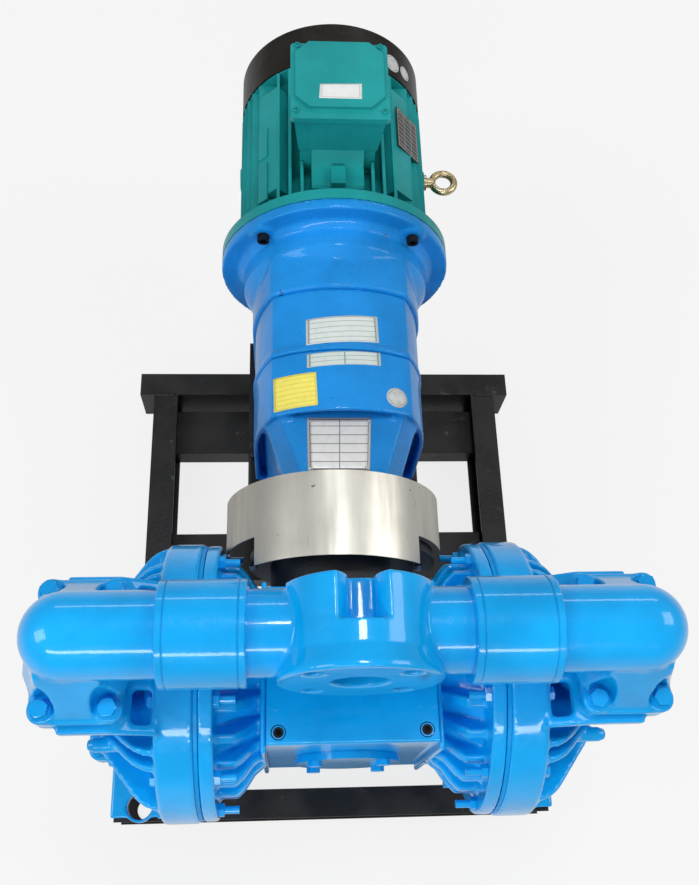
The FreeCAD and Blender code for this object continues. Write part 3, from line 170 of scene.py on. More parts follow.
floor_half = 30.0
floor_mesh = bpy.data.meshes.new("studio_floor")
floor_corners = [(x * floor_half, y * floor_half, 0) for x, y in ((-1, -1), (1, -1), (1, 1), (-1, 1))]
floor_mesh.from_pydata(floor_corners, [], [(0, 1, 2, 3)])
floor = bpy.data.objects.new("studio_floor", floor_mesh)
bpy.context.scene.collection.objects.link(floor)
pale = Finish("pale_floor")
pale.set(Base_Color=pale.mix(pale.noise(1.5), (0.64, 0.64, 0.64), (0.68, 0.68, 0.68)), Roughness=0.9)
show_white(pale.tree, pale.surface.outputs[0], share=0.8, mirrored=0.3)
floor_mesh.materials.append(pale.material)

room = bpy.data.worlds.new("studio")
room.use_nodes = True
sky = room.node_tree.nodes["Background"]
sky.inputs["Color"].default_value = (0.96, 0.98, 1.0, 1)
sky.inputs["Strength"].default_value = 0.27
show_white(room.node_tree, sky.outputs[0], share=1.0, mirrored=0.06)
bpy.context.scene.world = room

# Each lamp's place, the point it aims at, its width and length, its power and its colour.
lamps = {
    "left_lamp": ((-2.3, -0.5, 2.4), (0, 0, 0.4), (1.3, 1.1), 27, (1.0, 1.0, 1.0)),
    "rear_strip": ((0.3, 2.7, 1.95), (0, -0.2, 0.6), (3.2, 0.22), 13, (1.0, 0.99, 0.97)),
    "front_strip": ((-0.4, -2.5, 2.3), (0, -0.2, 0.6), (2.8, 0.32), 41, (1.0, 0.99, 0.97)),
    "right_lamp": ((2.3, 0.3, 2.4), (0, 0.1, 0.4), (1.3, 1.3), 25, (1.0, 0.98, 0.95)),
    "top_lamp": ((0.1, 0.4, 3.4), (0, 0, 0.4), (0.5, 0.3), 17, (1.0, 1.0, 1.0)),
}
for name, (at, aim, size, watts, color) in lamps.items():
    light = bpy.data.lights.new(name, "AREA")
    light.shape = "RECTANGLE"
    light.size, light.size_y = size
    light.energy = watts
    light.color = color
    lamp = bpy.data.objects.new(name, light)
    lamp.location = at
    stands_at_side = abs(at[0]) > 1.5
    beam = Vector(aim) - Vector(at)
    lamp.rotation_euler = beam.to_track_quat("-Z", "X" if stands_at_side else "Y").to_euler()
    lamp.visible_camera = False
    bpy.context.scene.collection.objects.link(lamp)

pitch, yaw, roll = (math.radians(angle) for angle in (65.94, 9.11, -8.23))
photo_height_px = 885
focal_px = 997.27
centre_px = 429.94
camera_at = (-0.06694, -0.41019, 1.55462)
forward = Vector((math.sin(yaw) * math.cos(pitch), math.cos(yaw) * math.cos(pitch), -math.sin(pitch)))
level = Vector((math.cos(yaw), -math.sin(yaw), 0))
down = forward.cross(level)
right = level * math.cos(roll) + down * math.sin(roll)
up = level * math.sin(roll) - down * math.cos(roll)
lens = bpy.data.cameras.new("photo_camera")
lens.sensor_width = 36
lens.lens = focal_px / photo_height_px * lens.sensor_width
lens.shift_y = (centre_px - photo_height_px / 2) / photo_height_px
lens.clip_end = 100
camera = bpy.data.objects.new("photo_camera", lens)
camera.matrix_world = Matrix.Translation(camera_at) @ Matrix((right, up, -forward)).transposed().to_4x4()
bpy.context.scene.collection.objects.link(camera)
bpy.context.scene.camera = camera
bpy.context.scene.view_settings.view_transform = "Standard"


# Base frame
# Two channel rails and two end beams, welded at the corners, with cross members that carry the
# gearbox's raised rails. Mild steel, sprayed charcoal, dusty on top and with a few grey scrapes.
def dress(material, *names):
    """Gives CAD nodes a finish in place of the plain one that they come with."""
    for name in names:
        for slot in nodes[name].material_slots:
            slot.material = material


def upward(finish):
    """1 on faces that look up, 0 on the sides and below."""
    return finish.part(2, finish.node("NewGeometry", output="Normal")).between(0.6, 0.95)


def charcoal_paint():
    """Near-black enamel, dusty where it faces up, with a few grey scrapes."""
    finish = Finish("charcoal_paint")
    soft_edge = finish.node("Bevel", {"samples": 4}, Radius=0.0012)
    skin = finish.bump(finish.noise(300, 3), 0.0005, soft_edge)
    tone = finish.mix(finish.noise(7, 3), (0.009, 0.0095, 0.0105), (0.018, 0.018, 0.019))
    dust = finish.noise(16, 5).between(0.42, 0.72) * upward(finish)
    tone = finish.mix(dust * 0.22, tone, (0.095, 0.088, 0.078))
    scrape = finish.noise(46, 6).between(0.66, 0.70) * 0.35
    tone = finish.mix(scrape, tone, (0.16, 0.15, 0.145))
    return finish.set(Base_Color=tone, Roughness=0.36 + 0.35 * dust, Specular_IOR_Level=0.3, Normal=skin)


charcoal = charcoal_paint()
dress(charcoal, "side_rails", "end_beams", "cross_members", "pedestal_rails")


class Plan:
    """A Geometry Nodes tree that puts a repeated form on points. Its sizes are the tree's named inputs."""

    kinds = {"Seats": "NodeSocketGeometry", "Finish": "NodeSocketMaterial"}

    def __init__(self, name, *sizes):
        self.tree = bpy.data.node_groups.new(name, "GeometryNodeTree")
        for size in ("Seats", *sizes, "Finish"):
            kind = self.kinds.get(size, "NodeSocketFloat")
            self.tree.interface.new_socket(size, in_out="INPUT", socket_type=kind)
        self.tree.interface.new_socket("Pieces", in_out="OUTPUT", socket_type="NodeSocketGeometry")
        self.entry = self.tree.nodes.new("NodeGroupInput")
        self.exit = self.tree.nodes.new("NodeGroupOutput")

    def size(self, name):
        return Flow(self.tree, self.entry.outputs[name])

    def node(self, kind, settings=None, output=0, **sockets):
        node = self.tree.nodes.new(kind)
        for name, value in (settings or {}).items():
            setattr(node, name, value)
        for name, value in sockets.items():
            slot = node.inputs[name.replace("_", " ")]
            for flow in value if isinstance(value, list) else [value]:
                if isinstance(flow, Flow):
                    self.tree.links.new(flow.socket, slot)
                else:
                    slot.default_value = flow
        return Flow(self.tree, node.outputs[output])

    def raised(self, form, height, flat=None):
        """The form moved up by height, and squashed where flat gives its scale."""
        lift = self.node("ShaderNodeCombineXYZ", Z=height)
        sockets = {"Geometry": form, "Translation": lift}
        if flat:
            sockets["Scale"] = flat
        return self.node("GeometryNodeTransform", **sockets)

    def drum(self, sides, radius, low, high):
        """A prism or cylinder that stands on Z from low to high."""
        depth = high - low
        form = self.node("GeometryNodeMeshCylinder", Vertices=sides, Radius=radius, Depth=depth)
        return self.raised(form, low + depth * 0.5)

    def place(self, form):
        """Sets the form on every seat, its Z along the seat's axis, and ends the tree."""
        axis = self.node("GeometryNodeInputNamedAttribute", {"data_type": "FLOAT_VECTOR"}, Name="axis")
        turn = self.node("FunctionNodeAlignRotationToVector", {"axis": "Z"}, Vector=axis)
        spun = self.node("GeometryNodeInputNamedAttribute", {"data_type": "FLOAT"}, Name="spin")
        twist = self.node("FunctionNodeAxisAngleToRotation", Axis=(0, 0, 1), Angle=spun)
        turn = self.node("FunctionNodeRotateRotation", {"rotation_space": "LOCAL"}, Rotation=turn,
                         Rotate_By=twist)
        put = self.node("GeometryNodeInstanceOnPoints", Points=self.size("Seats"), Instance=form,
                        Rotation=turn)
        whole = self.node("GeometryNodeRealizeInstances", Geometry=put)
        painted = self.node("GeometryNodeSetMaterial", Geometry=whole, Material=self.size("Finish"))
        self.tree.links.new(painted.socket, self.exit.inputs[0])

    def make(self, name, seats, finish, **sizes):
        """A plain mesh of the form on all seats. A seat is a place and the way that its axis points."""
        points = bpy.data.meshes.new(name + "_seats")
        points.from_pydata([place for place, _ in seats], [], [])
        axes = points.attributes.new("axis", "FLOAT_VECTOR", "POINT")
        axes.data.foreach_set("vector", [part for _, axis in seats for part in axis])
        spins = points.attributes.new("spin", "FLOAT", "POINT")
        spins.data.foreach_set("value", [0.7 * index for index in range(len(seats))])
        piece = bpy.data.objects.new(name, points)
        bpy.context.scene.collection.objects.link(piece)
        build = piece.modifiers.new("build", "NODES")
        build.node_group = self.tree
        for item in self.tree.interface.items_tree:
            if item.in_out == "INPUT" and item.name.replace(" ", "_") in sizes:
                build[item.identifier] = sizes[item.name.replace(" ", "_")]
            elif item.in_out == "INPUT" and item.name == "Finish":
                build[item.identifier] = finish
        return settled(piece)


def settled(piece):
    """Turns what the piece's modifiers make into its own plain mesh."""
    scene_now = bpy.context.evaluated_depsgraph_get()
    mesh = bpy.data.meshes.new_from_object(piece.evaluated_get(scene_now))
    piece.modifiers.clear()
    piece.data = mesh
    return piece


weld = Plan("weld_bead", "Width")
weld_flat = 0.45
ripple = weld.node("GeometryNodeMeshIcoSphere", Radius=weld.size("Width") * 0.5, Subdivisions=2)
weld.place(weld.raised(ripple, 0.0, weld.node("ShaderNodeCombineXYZ", X=1, Y=1, Z=weld_flat)))
weld_step = 0.0022
weld_run = 0.030
weld_inset = 0.004
rail_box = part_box("side_rails")
corner_seams = []
for side in (-1, 1):
    for end in (-1, 1):
        for index in range(int(weld_run / weld_step)):
            x = side * (rail_box[1][0] - weld_inset - index * weld_step)
            corner_seams.append(((x, end * rail_box[1][1], rail_box[1][2]), (0, 0, 1)))
weld_beads = weld.make("weld_beads", corner_seams, charcoal, Width=0.0062)
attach(weld_beads, "pump_unit")


# Foot bolts
# M12 hexagon bolts hold the pump's feet to the rails and the gearbox's foot to its raised rails.
# Zinc-plated steel at the pump, blackened steel at the gearbox.
def hex_bolt_plan():
    """A chamfered head on a washer, its shank through the joint, and a nut on the stud's end."""
    plan = Plan("hex_bolt", "Across flats", "Head", "Washer radius", "Washer", "Shank radius", "Grip", "Nut",
                "Past nut")
    flats, head, washer = (plan.size(name) for name in ("Across flats", "Head", "Washer"))
    corner = flats * (0.5 / math.cos(math.pi / 6))
    grip, nut = plan.size("Grip"), plan.size("Nut")
    chamfer_slope = 1.732

    def chamfered(low, height, faces_up):
        prism = plan.drum(6, corner, 0.0, height)
        rim = flats * 0.475
        cone = plan.node("GeometryNodeMeshCone", Vertices=28, Radius_Top=rim,
                         Radius_Bottom=rim + height * chamfer_slope, Depth=height)
        form = plan.node("GeometryNodeMeshBoolean", {"operation": "INTERSECT", "solver": "EXACT"},
                         Mesh_2=[prism, cone])
        if faces_up:
            return plan.raised(form, low)
        return plan.raised(form, low, plan.node("ShaderNodeCombineXYZ", X=1, Y=-1, Z=-1))

    shank = plan.drum(20, plan.size("Shank radius"), 0.0 - grip - nut - plan.size("Past nut"), 0.001)
    disc = plan.drum(32, plan.size("Washer radius"), 0.0, washer)
    forms = [chamfered(washer, head, True), chamfered(0.0 - grip, nut, False), shank, disc]
    plan.place(plan.node("GeometryNodeJoinGeometry", Geometry=forms))
    return plan


hex_bolt = hex_bolt_plan()


def plated(name, bright, tarnished, roughness, metallic=1.0):
    """Plated or blackened steel: a metal tone with tarnish in soft patches and a faint machined grain."""
    finish = Finish(name)
    tarnish = finish.noise(60, 4).between(0.4, 0.7)
    soft_edge = finish.node("Bevel", {"samples": 4}, Radius=0.0004)
    grain = finish.bump(finish.noise(1500, 2), 0.0001, soft_edge)
    return finish.set(Base_Color=finish.mix(tarnish, bright, tarnished), Metallic=metallic,
                      Roughness=roughness + 0.15 * tarnish, Normal=grain)


zinc = plated("zinc_plate", (0.62, 0.62, 0.60), (0.44, 0.43, 0.40), roughness=0.32)
black_oxide = plated("black_oxide", (0.035, 0.035, 0.038), (0.020, 0.019, 0.019), roughness=0.4)
m12 = {"Across_flats": 0.018, "Head": 0.0075, "Washer_radius": 0.0112, "Washer": 0.0018,
       "Shank_radius": 0.006, "Nut": 0.0099, "Past_nut": 0.003}
pump_y = -0.2125
axis_z = 0.415
foot_x = 0.260
foot_half_pitch = 0.066
foot_top = 0.089
foot_seats = [
    ((side * foot_x, pump_y + end * foot_half_pitch, foot_top), (0, 0, 1))
    for side in (-1, 1) for end in (-1, 1)
]
pump_foot_bolts = hex_bolt.make("pump_foot_bolts", foot_seats, zinc, Grip=0.019, **m12)
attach(pump_foot_bolts, "pump_unit")
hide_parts("foot_bolts")
gearbox_foot_x = 0.106
gearbox_foot_rows = (0.0395, 0.1205)
gearbox_foot_top = 0.269
gearbox_seats = [
    ((side * gearbox_foot_x, y, gearbox_foot_top), (0, 0, 1))
    for side in (-1, 1) for y in gearbox_foot_rows
]
gearbox_foot_bolts = hex_bolt.make("gearbox_foot_bolts", gearbox_seats, black_oxide, Grip=0.020, **m12)
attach(gearbox_foot_bolts, "pump_unit")
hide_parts("foot_bolts")


# Centre block
# A cast iron box round the crank, with a bolted cover in front. Glossy two-pack blue was sprayed
# over the casting and its screws; only the sockets of the two sunk in its top show black.
def sprayed(name, color, roughness, coat, waves, grain, edge=0.0, worn=None):
    """Sprayed paint on a casting: a drifting tone, long waves in the gloss, and the sand's grain."""
    finish = Finish(name)
    deep = tuple(part * 0.80 for part in color)
    thin = tuple(min(1.0, part * 1.10 + 0.004) for part in color)
    tone = finish.mix(finish.noise(11, 3).between(0.3, 0.7), deep, thin)
    soot = finish.noise(31, 6).between(0.60, 0.80)
    tone = finish.mix(soot * 0.16, tone, tuple(part * 0.35 for part in color))
    if worn:
        tone = worn(finish, tone)
    skin = finish.node("Bevel", {"samples": 4}, Radius=edge) if edge else None
    skin = finish.bump(finish.noise(42, 2), waves, skin)
    skin = finish.bump(finish.noise(520, 2), grain, skin)
    return finish.set(Base_Color=tone, Roughness=roughness + 0.14 * soot, Coat_Weight=coat,
                      Coat_Roughness=0.07, Coat_IOR=1.36, Specular_IOR_Level=0.12, Normal=skin)


gloss_blue_tone = (0.0, 0.40, 0.93)
block_blue = sprayed("gloss_blue_machined", gloss_blue_tone, roughness=0.30, coat=0.9, waves=0.0010,
                     grain=0.00022, edge=0.0022)
dress(block_blue, "centre_block", "crank_cover", "pipe_collars")
sunk_screw_x = 0.074
sunk_screw_y = pump_y - 0.073
sunk_screw_low = 0.49
sunk_screw_bare_radius = 0.0054


def half_painted():
    """Painted in place with the block, but for the bare black middles of the two screws sunk in its top."""
    finish = Finish("block_screw_finish")
    x, y = finish.part(0), finish.part(1) - sunk_screw_y
    x = x.math("ABSOLUTE", x) - sunk_screw_x
    from_axis = (x * x + y * y).math("SQRT", x * x + y * y)
    bare = (finish.part(2) > sunk_screw_low) * (from_axis < sunk_screw_bare_radius)
    return finish.set(Base_Color=finish.mix(bare, gloss_blue_tone, (0.006, 0.006, 0.007)),
                      Metallic=0.2 * bare, Roughness=0.3 + 0.25 * bare,
                      Normal=finish.bump(finish.noise(900, 2), 0.0001))


dress(half_painted(), "block_screws")


# Inner chambers
# Ribbed cast dishes bolted to the block's sides, each holding its diaphragm's inner face. Cast
# iron with rounded ribs, painted together with the block.
def casting(name, paint, voxel, rounds, share):
    """A casting grown from its CAD node: sand leaves no sharp corner, so every edge and root is rounded.

    It is built of cubes as wide as voxel, smoothed in a number of rounds, and keeps a share of its faces.
    """
    mesh = nodes[name].data.copy()
    loose = bmesh.new()
    loose.from_mesh(mesh)
    bmesh.ops.remove_doubles(loose, verts=loose.verts, dist=1e-5)
    loose.to_mesh(mesh)
    loose.free()
    mesh.materials.clear()
    mesh.materials.append(paint)
    piece = bpy.data.objects.new("cast_" + name, mesh)
    bpy.context.scene.collection.objects.link(piece)
    skin = piece.modifiers.new("skin", "REMESH")
    skin.mode = "VOXEL"
    skin.voxel_size = voxel
    soften = piece.modifiers.new("soften", "SMOOTH")
    soften.factor = 0.5
    soften.iterations = rounds
    thin_out = piece.modifiers.new("thin_out", "DECIMATE")
    thin_out.ratio = share
    settled(piece)
    piece.data.shade_smooth()
    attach(piece, "pump_unit")
    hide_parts(name)
    return piece


casting_blue = sprayed("gloss_blue_cast", gloss_blue_tone, roughness=0.28, coat=1.0, waves=0.0012,
                       grain=0.00016)
for side in ("left", "right"):
    casting("inner_chamber_" + side, casting_blue, voxel=0.0022, rounds=3, share=0.7)


# Diaphragms and what they carry
# Moulded rubber discs clamped between the chambers. Their rims show as a thin line, painted over
# with the castings; steel plates on the yoke's rod hold their centres and flex them to and fro.
rim_radius = 0.148
painted_radius = 0.143
stud_radius = 0.0125
rubber_faces = (0.153, 0.157)
sector_count = 6
half_sector = math.pi / sector_count
ring_steps = 24
spoke_steps = 8


def diaphragm_finish():
    """Black rubber whose rim caught the castings' paint."""
    finish = Finish("painted_rim_rubber")
    y = finish.part(1) - pump_y
    z = finish.part(2) - axis_z
    from_axis = (y * y + z * z).math("SQRT", y * y + z * z)
    rim = from_axis.between(painted_radius, painted_radius + 0.0005)
    thin = finish.noise(50, 4).between(0.5, 0.8)
    tone = finish.mix(rim * (1.0 - thin * 0.2), (0.018, 0.018, 0.019), (0.0, 0.33, 0.80))
    return finish.set(Base_Color=tone, Roughness=0.55 - 0.2 * rim, Specular_IOR_Level=0.14,
                      Normal=finish.bump(finish.noise(600, 2), 0.0002))


rim_rubber = diaphragm_finish()


def border_of(high, wide):
    """The numbers of a grid's outer points, once round."""
    count = high * wide
    return [*range(wide), *range(2 * wide - 1, count, wide),
            *range(count - 2, count - wide - 1, -1), *range(count - 2 * wide, 0, -wide)]


def diaphragm_sector(name, side, index):
    """A sixth of a diaphragm, a rubber sheet from the stud out to its rim."""
    rings = [stud_radius + (rim_radius - stud_radius) * step / ring_steps for step in range(ring_steps + 1)]
    middle = 2 * half_sector * index
    spokes = [middle + half_sector * (2 * step / spoke_steps - 1) for step in range(spoke_steps + 1)]
    wide = len(spokes)
    vertices = [
        (side * x, pump_y + radius * math.cos(angle), axis_z + radius * math.sin(angle))
        for x in rubber_faces for radius in rings for angle in spokes
    ]
    layer = len(rings) * wide
    faces = []
    for ring in range(len(rings) - 1):
        for spoke in range(wide - 1):
            first = ring * wide + spoke
            faces.append((first, first + 1, first + 1 + wide, first + wide))
            faces.append(tuple(layer + corner for corner in reversed(faces[-1])))
    border = border_of(len(rings), wide)
    for corner, following in zip(border, border[1:] + border[:1]):
        faces.append((following, corner, layer + corner, layer + following))
    mesh = bpy.data.meshes.new(name)
    mesh.from_pydata(vertices, [], faces)
    loose = bmesh.new()
    loose.from_mesh(mesh)
    bmesh.ops.recalc_face_normals(loose, faces=loose.faces)
    loose.to_mesh(mesh)
    loose.free()
    mesh.materials.append(rim_rubber)
    sector = bpy.data.objects.new(name, mesh)
    bpy.context.scene.collection.objects.link(sector)
    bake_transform(sector)
    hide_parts("diaphragm_left" if side < 0 else "diaphragm_right")


for side, word in ((-1, "left"), (1, "right")):
    for index in range(sector_count):
        diaphragm_sector(f"diaphragm_{word}_sector_{index + 1}", side, index)


# Outer chambers
# The big ribbed castings outside the diaphragms, each with a foot and two valve columns, clamped
# by ten M8 bolts with long stud ends. Cast iron, painted with the bolts in place.
for side in ("left", "right"):
    casting("outer_chamber_" + side, casting_blue, voxel=0.0023, rounds=3, share=0.75)
ring_bolt_circle = 0.137
ring_bolt_count = 10
ring_face = 0.196
ring_seats = []
for side in (-1, 1):
    for index in range(ring_bolt_count):
        angle = math.pi * (1 + 2 * index / ring_bolt_count)
        seat_y = pump_y + ring_bolt_circle * math.cos(angle)
        seat_z = axis_z + ring_bolt_circle * math.sin(angle)
        ring_seats.append(((side * ring_face, seat_y, seat_z), (side, 0, 0)))
bolt_blue = sprayed("gloss_blue_bolts", gloss_blue_tone, roughness=0.30, coat=0.9, waves=0.0002,
                    grain=0.0001, edge=0.0006)
ring_bolts = hex_bolt.make("chamber_ring_bolts", ring_seats, bolt_blue, Across_flats=0.013, Head=0.0054,
                           Washer_radius=0.006, Washer=0.0001, Shank_radius=0.004, Grip=0.058, Nut=0.0066,
                           Past_nut=0.0155)
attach(ring_bolts, "pump_unit")
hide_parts("chamber_bolts")


# Elbows and manifolds
# Four elbow heads on the valve columns and two flanged manifolds between them, with turned collars
# where the pipes slide in. Cast iron in the same paint; M10 bolts with washers hold the elbows.
for line in ("discharge", "suction"):
    for side in ("left", "right"):
        casting(f"{line}_elbow_{side}", casting_blue, voxel=0.0021, rounds=3, share=0.7)
    casting(line + "_manifold", casting_blue, voxel=0.0017, rounds=1, share=0.6)
column_x = 0.262
elbow_face = 0.179
elbow_half_pitch = (0.031, 0.0555)
elbow_seats = [
    ((side * (column_x + across * elbow_half_pitch[0]), pump_y + along * elbow_half_pitch[1],
      axis_z + upright * elbow_face), (0, 0, upright))
    for upright in (1, -1) for side in (-1, 1) for across in (-1, 1) for along in (-1, 1)
]
elbow_bolts = hex_bolt.make("elbow_head_bolts", elbow_seats, bolt_blue, Across_flats=0.016, Head=0.007,
                            Washer_radius=0.0105, Washer=0.002, Shank_radius=0.005, Grip=0.033, Nut=0.00825,
                            Past_nut=0.003)
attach(elbow_bolts, "pump_unit")
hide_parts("elbow_bolts")


# Lantern and coupling guard
# A black cast lantern joins pump and gearbox round a jaw coupling with a red spider. Its guard is
# a rolled stainless sheet, brushed round its length, with drip stains and a few spot screws.
def guard_sheet():
    """Lighter on top with painted shade down its flaps, plus drips, smears, specks and short scores."""
    finish = Finish("brushed_stainless")
    x, z = finish.part(0), finish.part(2) - axis_z
    around = x.math("ARCTAN2", x, z)

    def streaks(detail, turns, lengths, layer):
        """Noise with one scale round the guard and another along it."""
        return finish.noise(1.0, detail, finish.vector(around * turns, finish.part(1) * lengths, layer))

    brushed = streaks(3, 5.0, 1400.0, 0.0)
    drips = streaks(4, 7.0, 6.0, 3.0).between(0.46, 0.72)
    smears = finish.noise(17, 5).between(0.50, 0.72)
    specks = finish.noise(95, 3).between(0.735, 0.76)
    scores = streaks(2, 90.0, 18.0, 7.0).between(0.72, 0.76)
    tone = finish.mix(drips * 0.45, (0.76, 0.74, 0.67), (0.42, 0.39, 0.33))
    tone = finish.mix(smears * 0.35, tone, (0.50, 0.47, 0.40))
    # Painted shade: the sheet darkens towards its flaps, standing in for the darker surroundings they mirror.
    flap_shade = around.math("ABSOLUTE", around).between(0.45, 1.25)
    tone = finish.mix(flap_shade * 0.75, tone, (0.32, 0.30, 0.26))
    tone = finish.mix(specks.math("MAXIMUM", specks, scores * 0.6) * 0.8, tone, (0.06, 0.055, 0.05))
    return finish.set(Base_Color=tone, Metallic=1.0, Roughness=0.36 + 0.12 * drips + 0.08 * brushed,
                      Normal=finish.bump(brushed, 0.00012))


dress(guard_sheet(), "coupling_guard")


def slotted_plan():
    """A pan head with a cross cut into it."""
    plan = Plan("pan_head", "Radius", "Height", "Slot")
    radius, height, slot = plan.size("Radius"), plan.size("Height"), plan.size("Slot")
    head = plan.node("GeometryNodeMeshCone", Vertices=24, Radius_Top=radius * 0.8, Radius_Bottom=radius,
                     Depth=height)
    reach = radius * 1.3
    bars = []
    for wide, deep in ((reach, slot), (slot, reach)):
        size = plan.node("ShaderNodeCombineXYZ", X=wide, Y=deep, Z=height)
        bars.append(plan.raised(plan.node("GeometryNodeMeshCube", Size=size), height * 0.95))
    cut = plan.node("GeometryNodeMeshBoolean", {"operation": "DIFFERENCE", "solver": "EXACT"},
                    Mesh_1=head, Mesh_2=bars)
    plan.place(cut)
    return plan


pan_head = slotted_plan()
guard_front = -0.0845
guard_screw_spots = ((-0.1040, 0.005), (0.0910, -0.002))
guard_screw_seats = [((x, guard_front, axis_z + z), (0, -1, 0)) for x, z in guard_screw_spots]
# Painted light: a lighter, less metallic copy of the zinc plate, so the screws in the guard's shade still
# show light.
bright_zinc = plated("bright_zinc", (0.92, 0.90, 0.88), (0.80, 0.77, 0.75), roughness=0.42, metallic=0.3)
guard_screws = pan_head.make("guard_screws", guard_screw_seats, bright_zinc, Radius=0.0050, Height=0.0045,
                             Slot=0.0011)
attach(guard_screws, "pump_unit")


def one_tone(name, color, darker, patches, roughness, grain, depth):
    """A coat or moulding whose tone drifts a little in patches, with a fine grain."""
    finish = Finish(name)
    tone = finish.mix(finish.noise(*patches), color, darker)
    return finish.set(Base_Color=tone, Roughness=roughness,
                      Normal=finish.bump(finish.noise(*grain), depth))


lantern_black = one_tone("lantern_black", (0.010, 0.010, 0.011), (0.028, 0.027, 0.027), patches=(22, 4),
                         roughness=0.5, grain=(420, 4), depth=0.0005)
dress(lantern_black, "lantern")
spider_red = one_tone("red_spider", (0.52, 0.022, 0.014), (0.38, 0.016, 0.012), patches=(90, 4),
                      roughness=0.45, grain=(700, 2), depth=0.0001)
dress(spider_red, "coupling_spider")


# Gearbox
# A cast iron reduction gearbox in three housings, the front one with a flat nose and a foot. Satin
# blue with the sand's grain; below the foot's top it turns near-black.
black_foot_top = 0.2697


def scuffed(finish, tone):
    """Small dark scuffs all over, and the foot's black."""
    scuffs = finish.noise(75, 6).between(0.715, 0.735) * 0.7
    tone = finish.mix(scuffs, tone, (0.02, 0.03, 0.05))
    return finish.mix(finish.part(2) < black_foot_top, tone, (0.016, 0.016, 0.017))


gearbox_blue = sprayed("satin_blue_gearbox", (0.008, 0.28, 0.77), roughness=0.34, coat=0.45,
                       waves=0.0009, grain=0.0011, worn=scuffed)
housings = {
    name: casting(name, gearbox_blue, voxel=0.0023, rounds=3, share=0.7)
    for name in ("output_housing", "middle_housing", "motor_adapter")
}


# Labels
# Paper labels stuck on the gearbox and a metal plate nailed to it, each a thin sheet that follows
# the surface under it. They are plain but for a thin frame and ruled lines.
sheet_steps = 12
sheet_sunk = 0.0002
label_lift = 0.0005
ray_reach = 0.2


def skin_of(piece):
    """The piece's surface, ready to be hit by rays."""
    return BVHTree.FromPolygons([vertex.co for vertex in piece.data.vertices],
                                [polygon.vertices for polygon in piece.data.polygons])


def lay(name, carrier, rows, lift, finish, look):
    """A sheet through rows of points, laid on the carrier along the look. With no carrier it stays flat."""
    high, wide = len(rows), len(rows[0])
    surface = carrier and skin_of(carrier)
    outside = look * ray_reach
    mesh = bmesh.new()
    unrolled = mesh.loops.layers.uv.new("UVMap")
    tops, unders = [], []
    for row in rows:
        for point in row:
            place, normal = surface.ray_cast(point - outside, look)[:2] if surface else (point, -look)
            tops.append(mesh.verts.new(place + normal * lift))
            unders.append(mesh.verts.new(place - normal * sheet_sunk))
    for j in range(high - 1):
        for i in range(wide - 1):
            ring = [j * wide + i, j * wide + i + 1, (j + 1) * wide + i + 1, (j + 1) * wide + i]
            face = mesh.faces.new([tops[k] for k in ring])
            mesh.faces.new([unders[k] for k in reversed(ring)])
            for loop, k in zip(face.loops, ring):
                loop[unrolled].uv = ((k % wide) / (wide - 1), (k // wide) / (high - 1))
    border = border_of(high, wide)
    for first, second in zip(border, border[1:] + border[:1]):
        mesh.faces.new([tops[second], tops[first], unders[first], unders[second]])
    bmesh.ops.recalc_face_normals(mesh, faces=mesh.faces)
    data = bpy.data.meshes.new(name)
    mesh.to_mesh(data)
    mesh.free()
    data.materials.append(finish)
    data.shade_smooth()
    piece = bpy.data.objects.new(name, data)
    bpy.context.scene.collection.objects.link(piece)
    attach(piece, "pump_unit")
    return piece


def sheet_on(name, carrier, corners, lift, finish, look=(0, 0, -1)):
    """A thin sheet between four corners, with its UV map unrolled over it."""
    shares = [step / sheet_steps for step in range(sheet_steps + 1)]
    near = [Vector(corners[0]).lerp(Vector(corners[1]), share) for share in shares]
    far = [Vector(corners[3]).lerp(Vector(corners[2]), share) for share in shares]
    rows = [[first.lerp(last, share) for first, last in zip(near, far)] for share in shares]
    return lay(name, carrier, rows, lift, finish, Vector(look))


def label_finish(name, ground, ink, rows, columns, roughness, metallic=0.0, margin=0.03):
    """A plain label: its ground, a thin frame, and ruled lines, with light grime over them."""
    finish = Finish(name)
    unrolled = finish.node("UVMap")
    u, v = finish.part(0, unrolled), finish.part(1, unrolled)
    ruled = (v * rows).math("FRACT", v * rows) < 0.10
    if columns > 1:
        ruled = ruled.math("MAXIMUM", ruled, (u * columns).math("FRACT", u * columns) < 0.035)
    edge = u.math("MINIMUM", u.math("MINIMUM", u, 1.0 - u), v.math("MINIMUM", v, 1.0 - v))
    inside = edge > margin
    frame_line = inside * (edge < margin + 0.018)
    lines = frame_line.math("MAXIMUM", frame_line, ruled * inside)
    grime = finish.noise(120, 4).between(0.45, 0.75)
    paper = finish.mix(grime * 0.25, ground, tuple(part * 0.62 for part in ground))
    return finish.set(Base_Color=finish.mix(lines * 0.8, paper, ink), Roughness=roughness + 0.1 * grime,
                      Metallic=metallic, Normal=finish.bump(finish.noise(500, 2), 0.00004))


def pump_place(x, y, height=0.12):
    """A place from millimetres across and along, and metres up, all from the crank's middle."""
    return (x / 1000, y / 1000 + pump_y, height + axis_z)


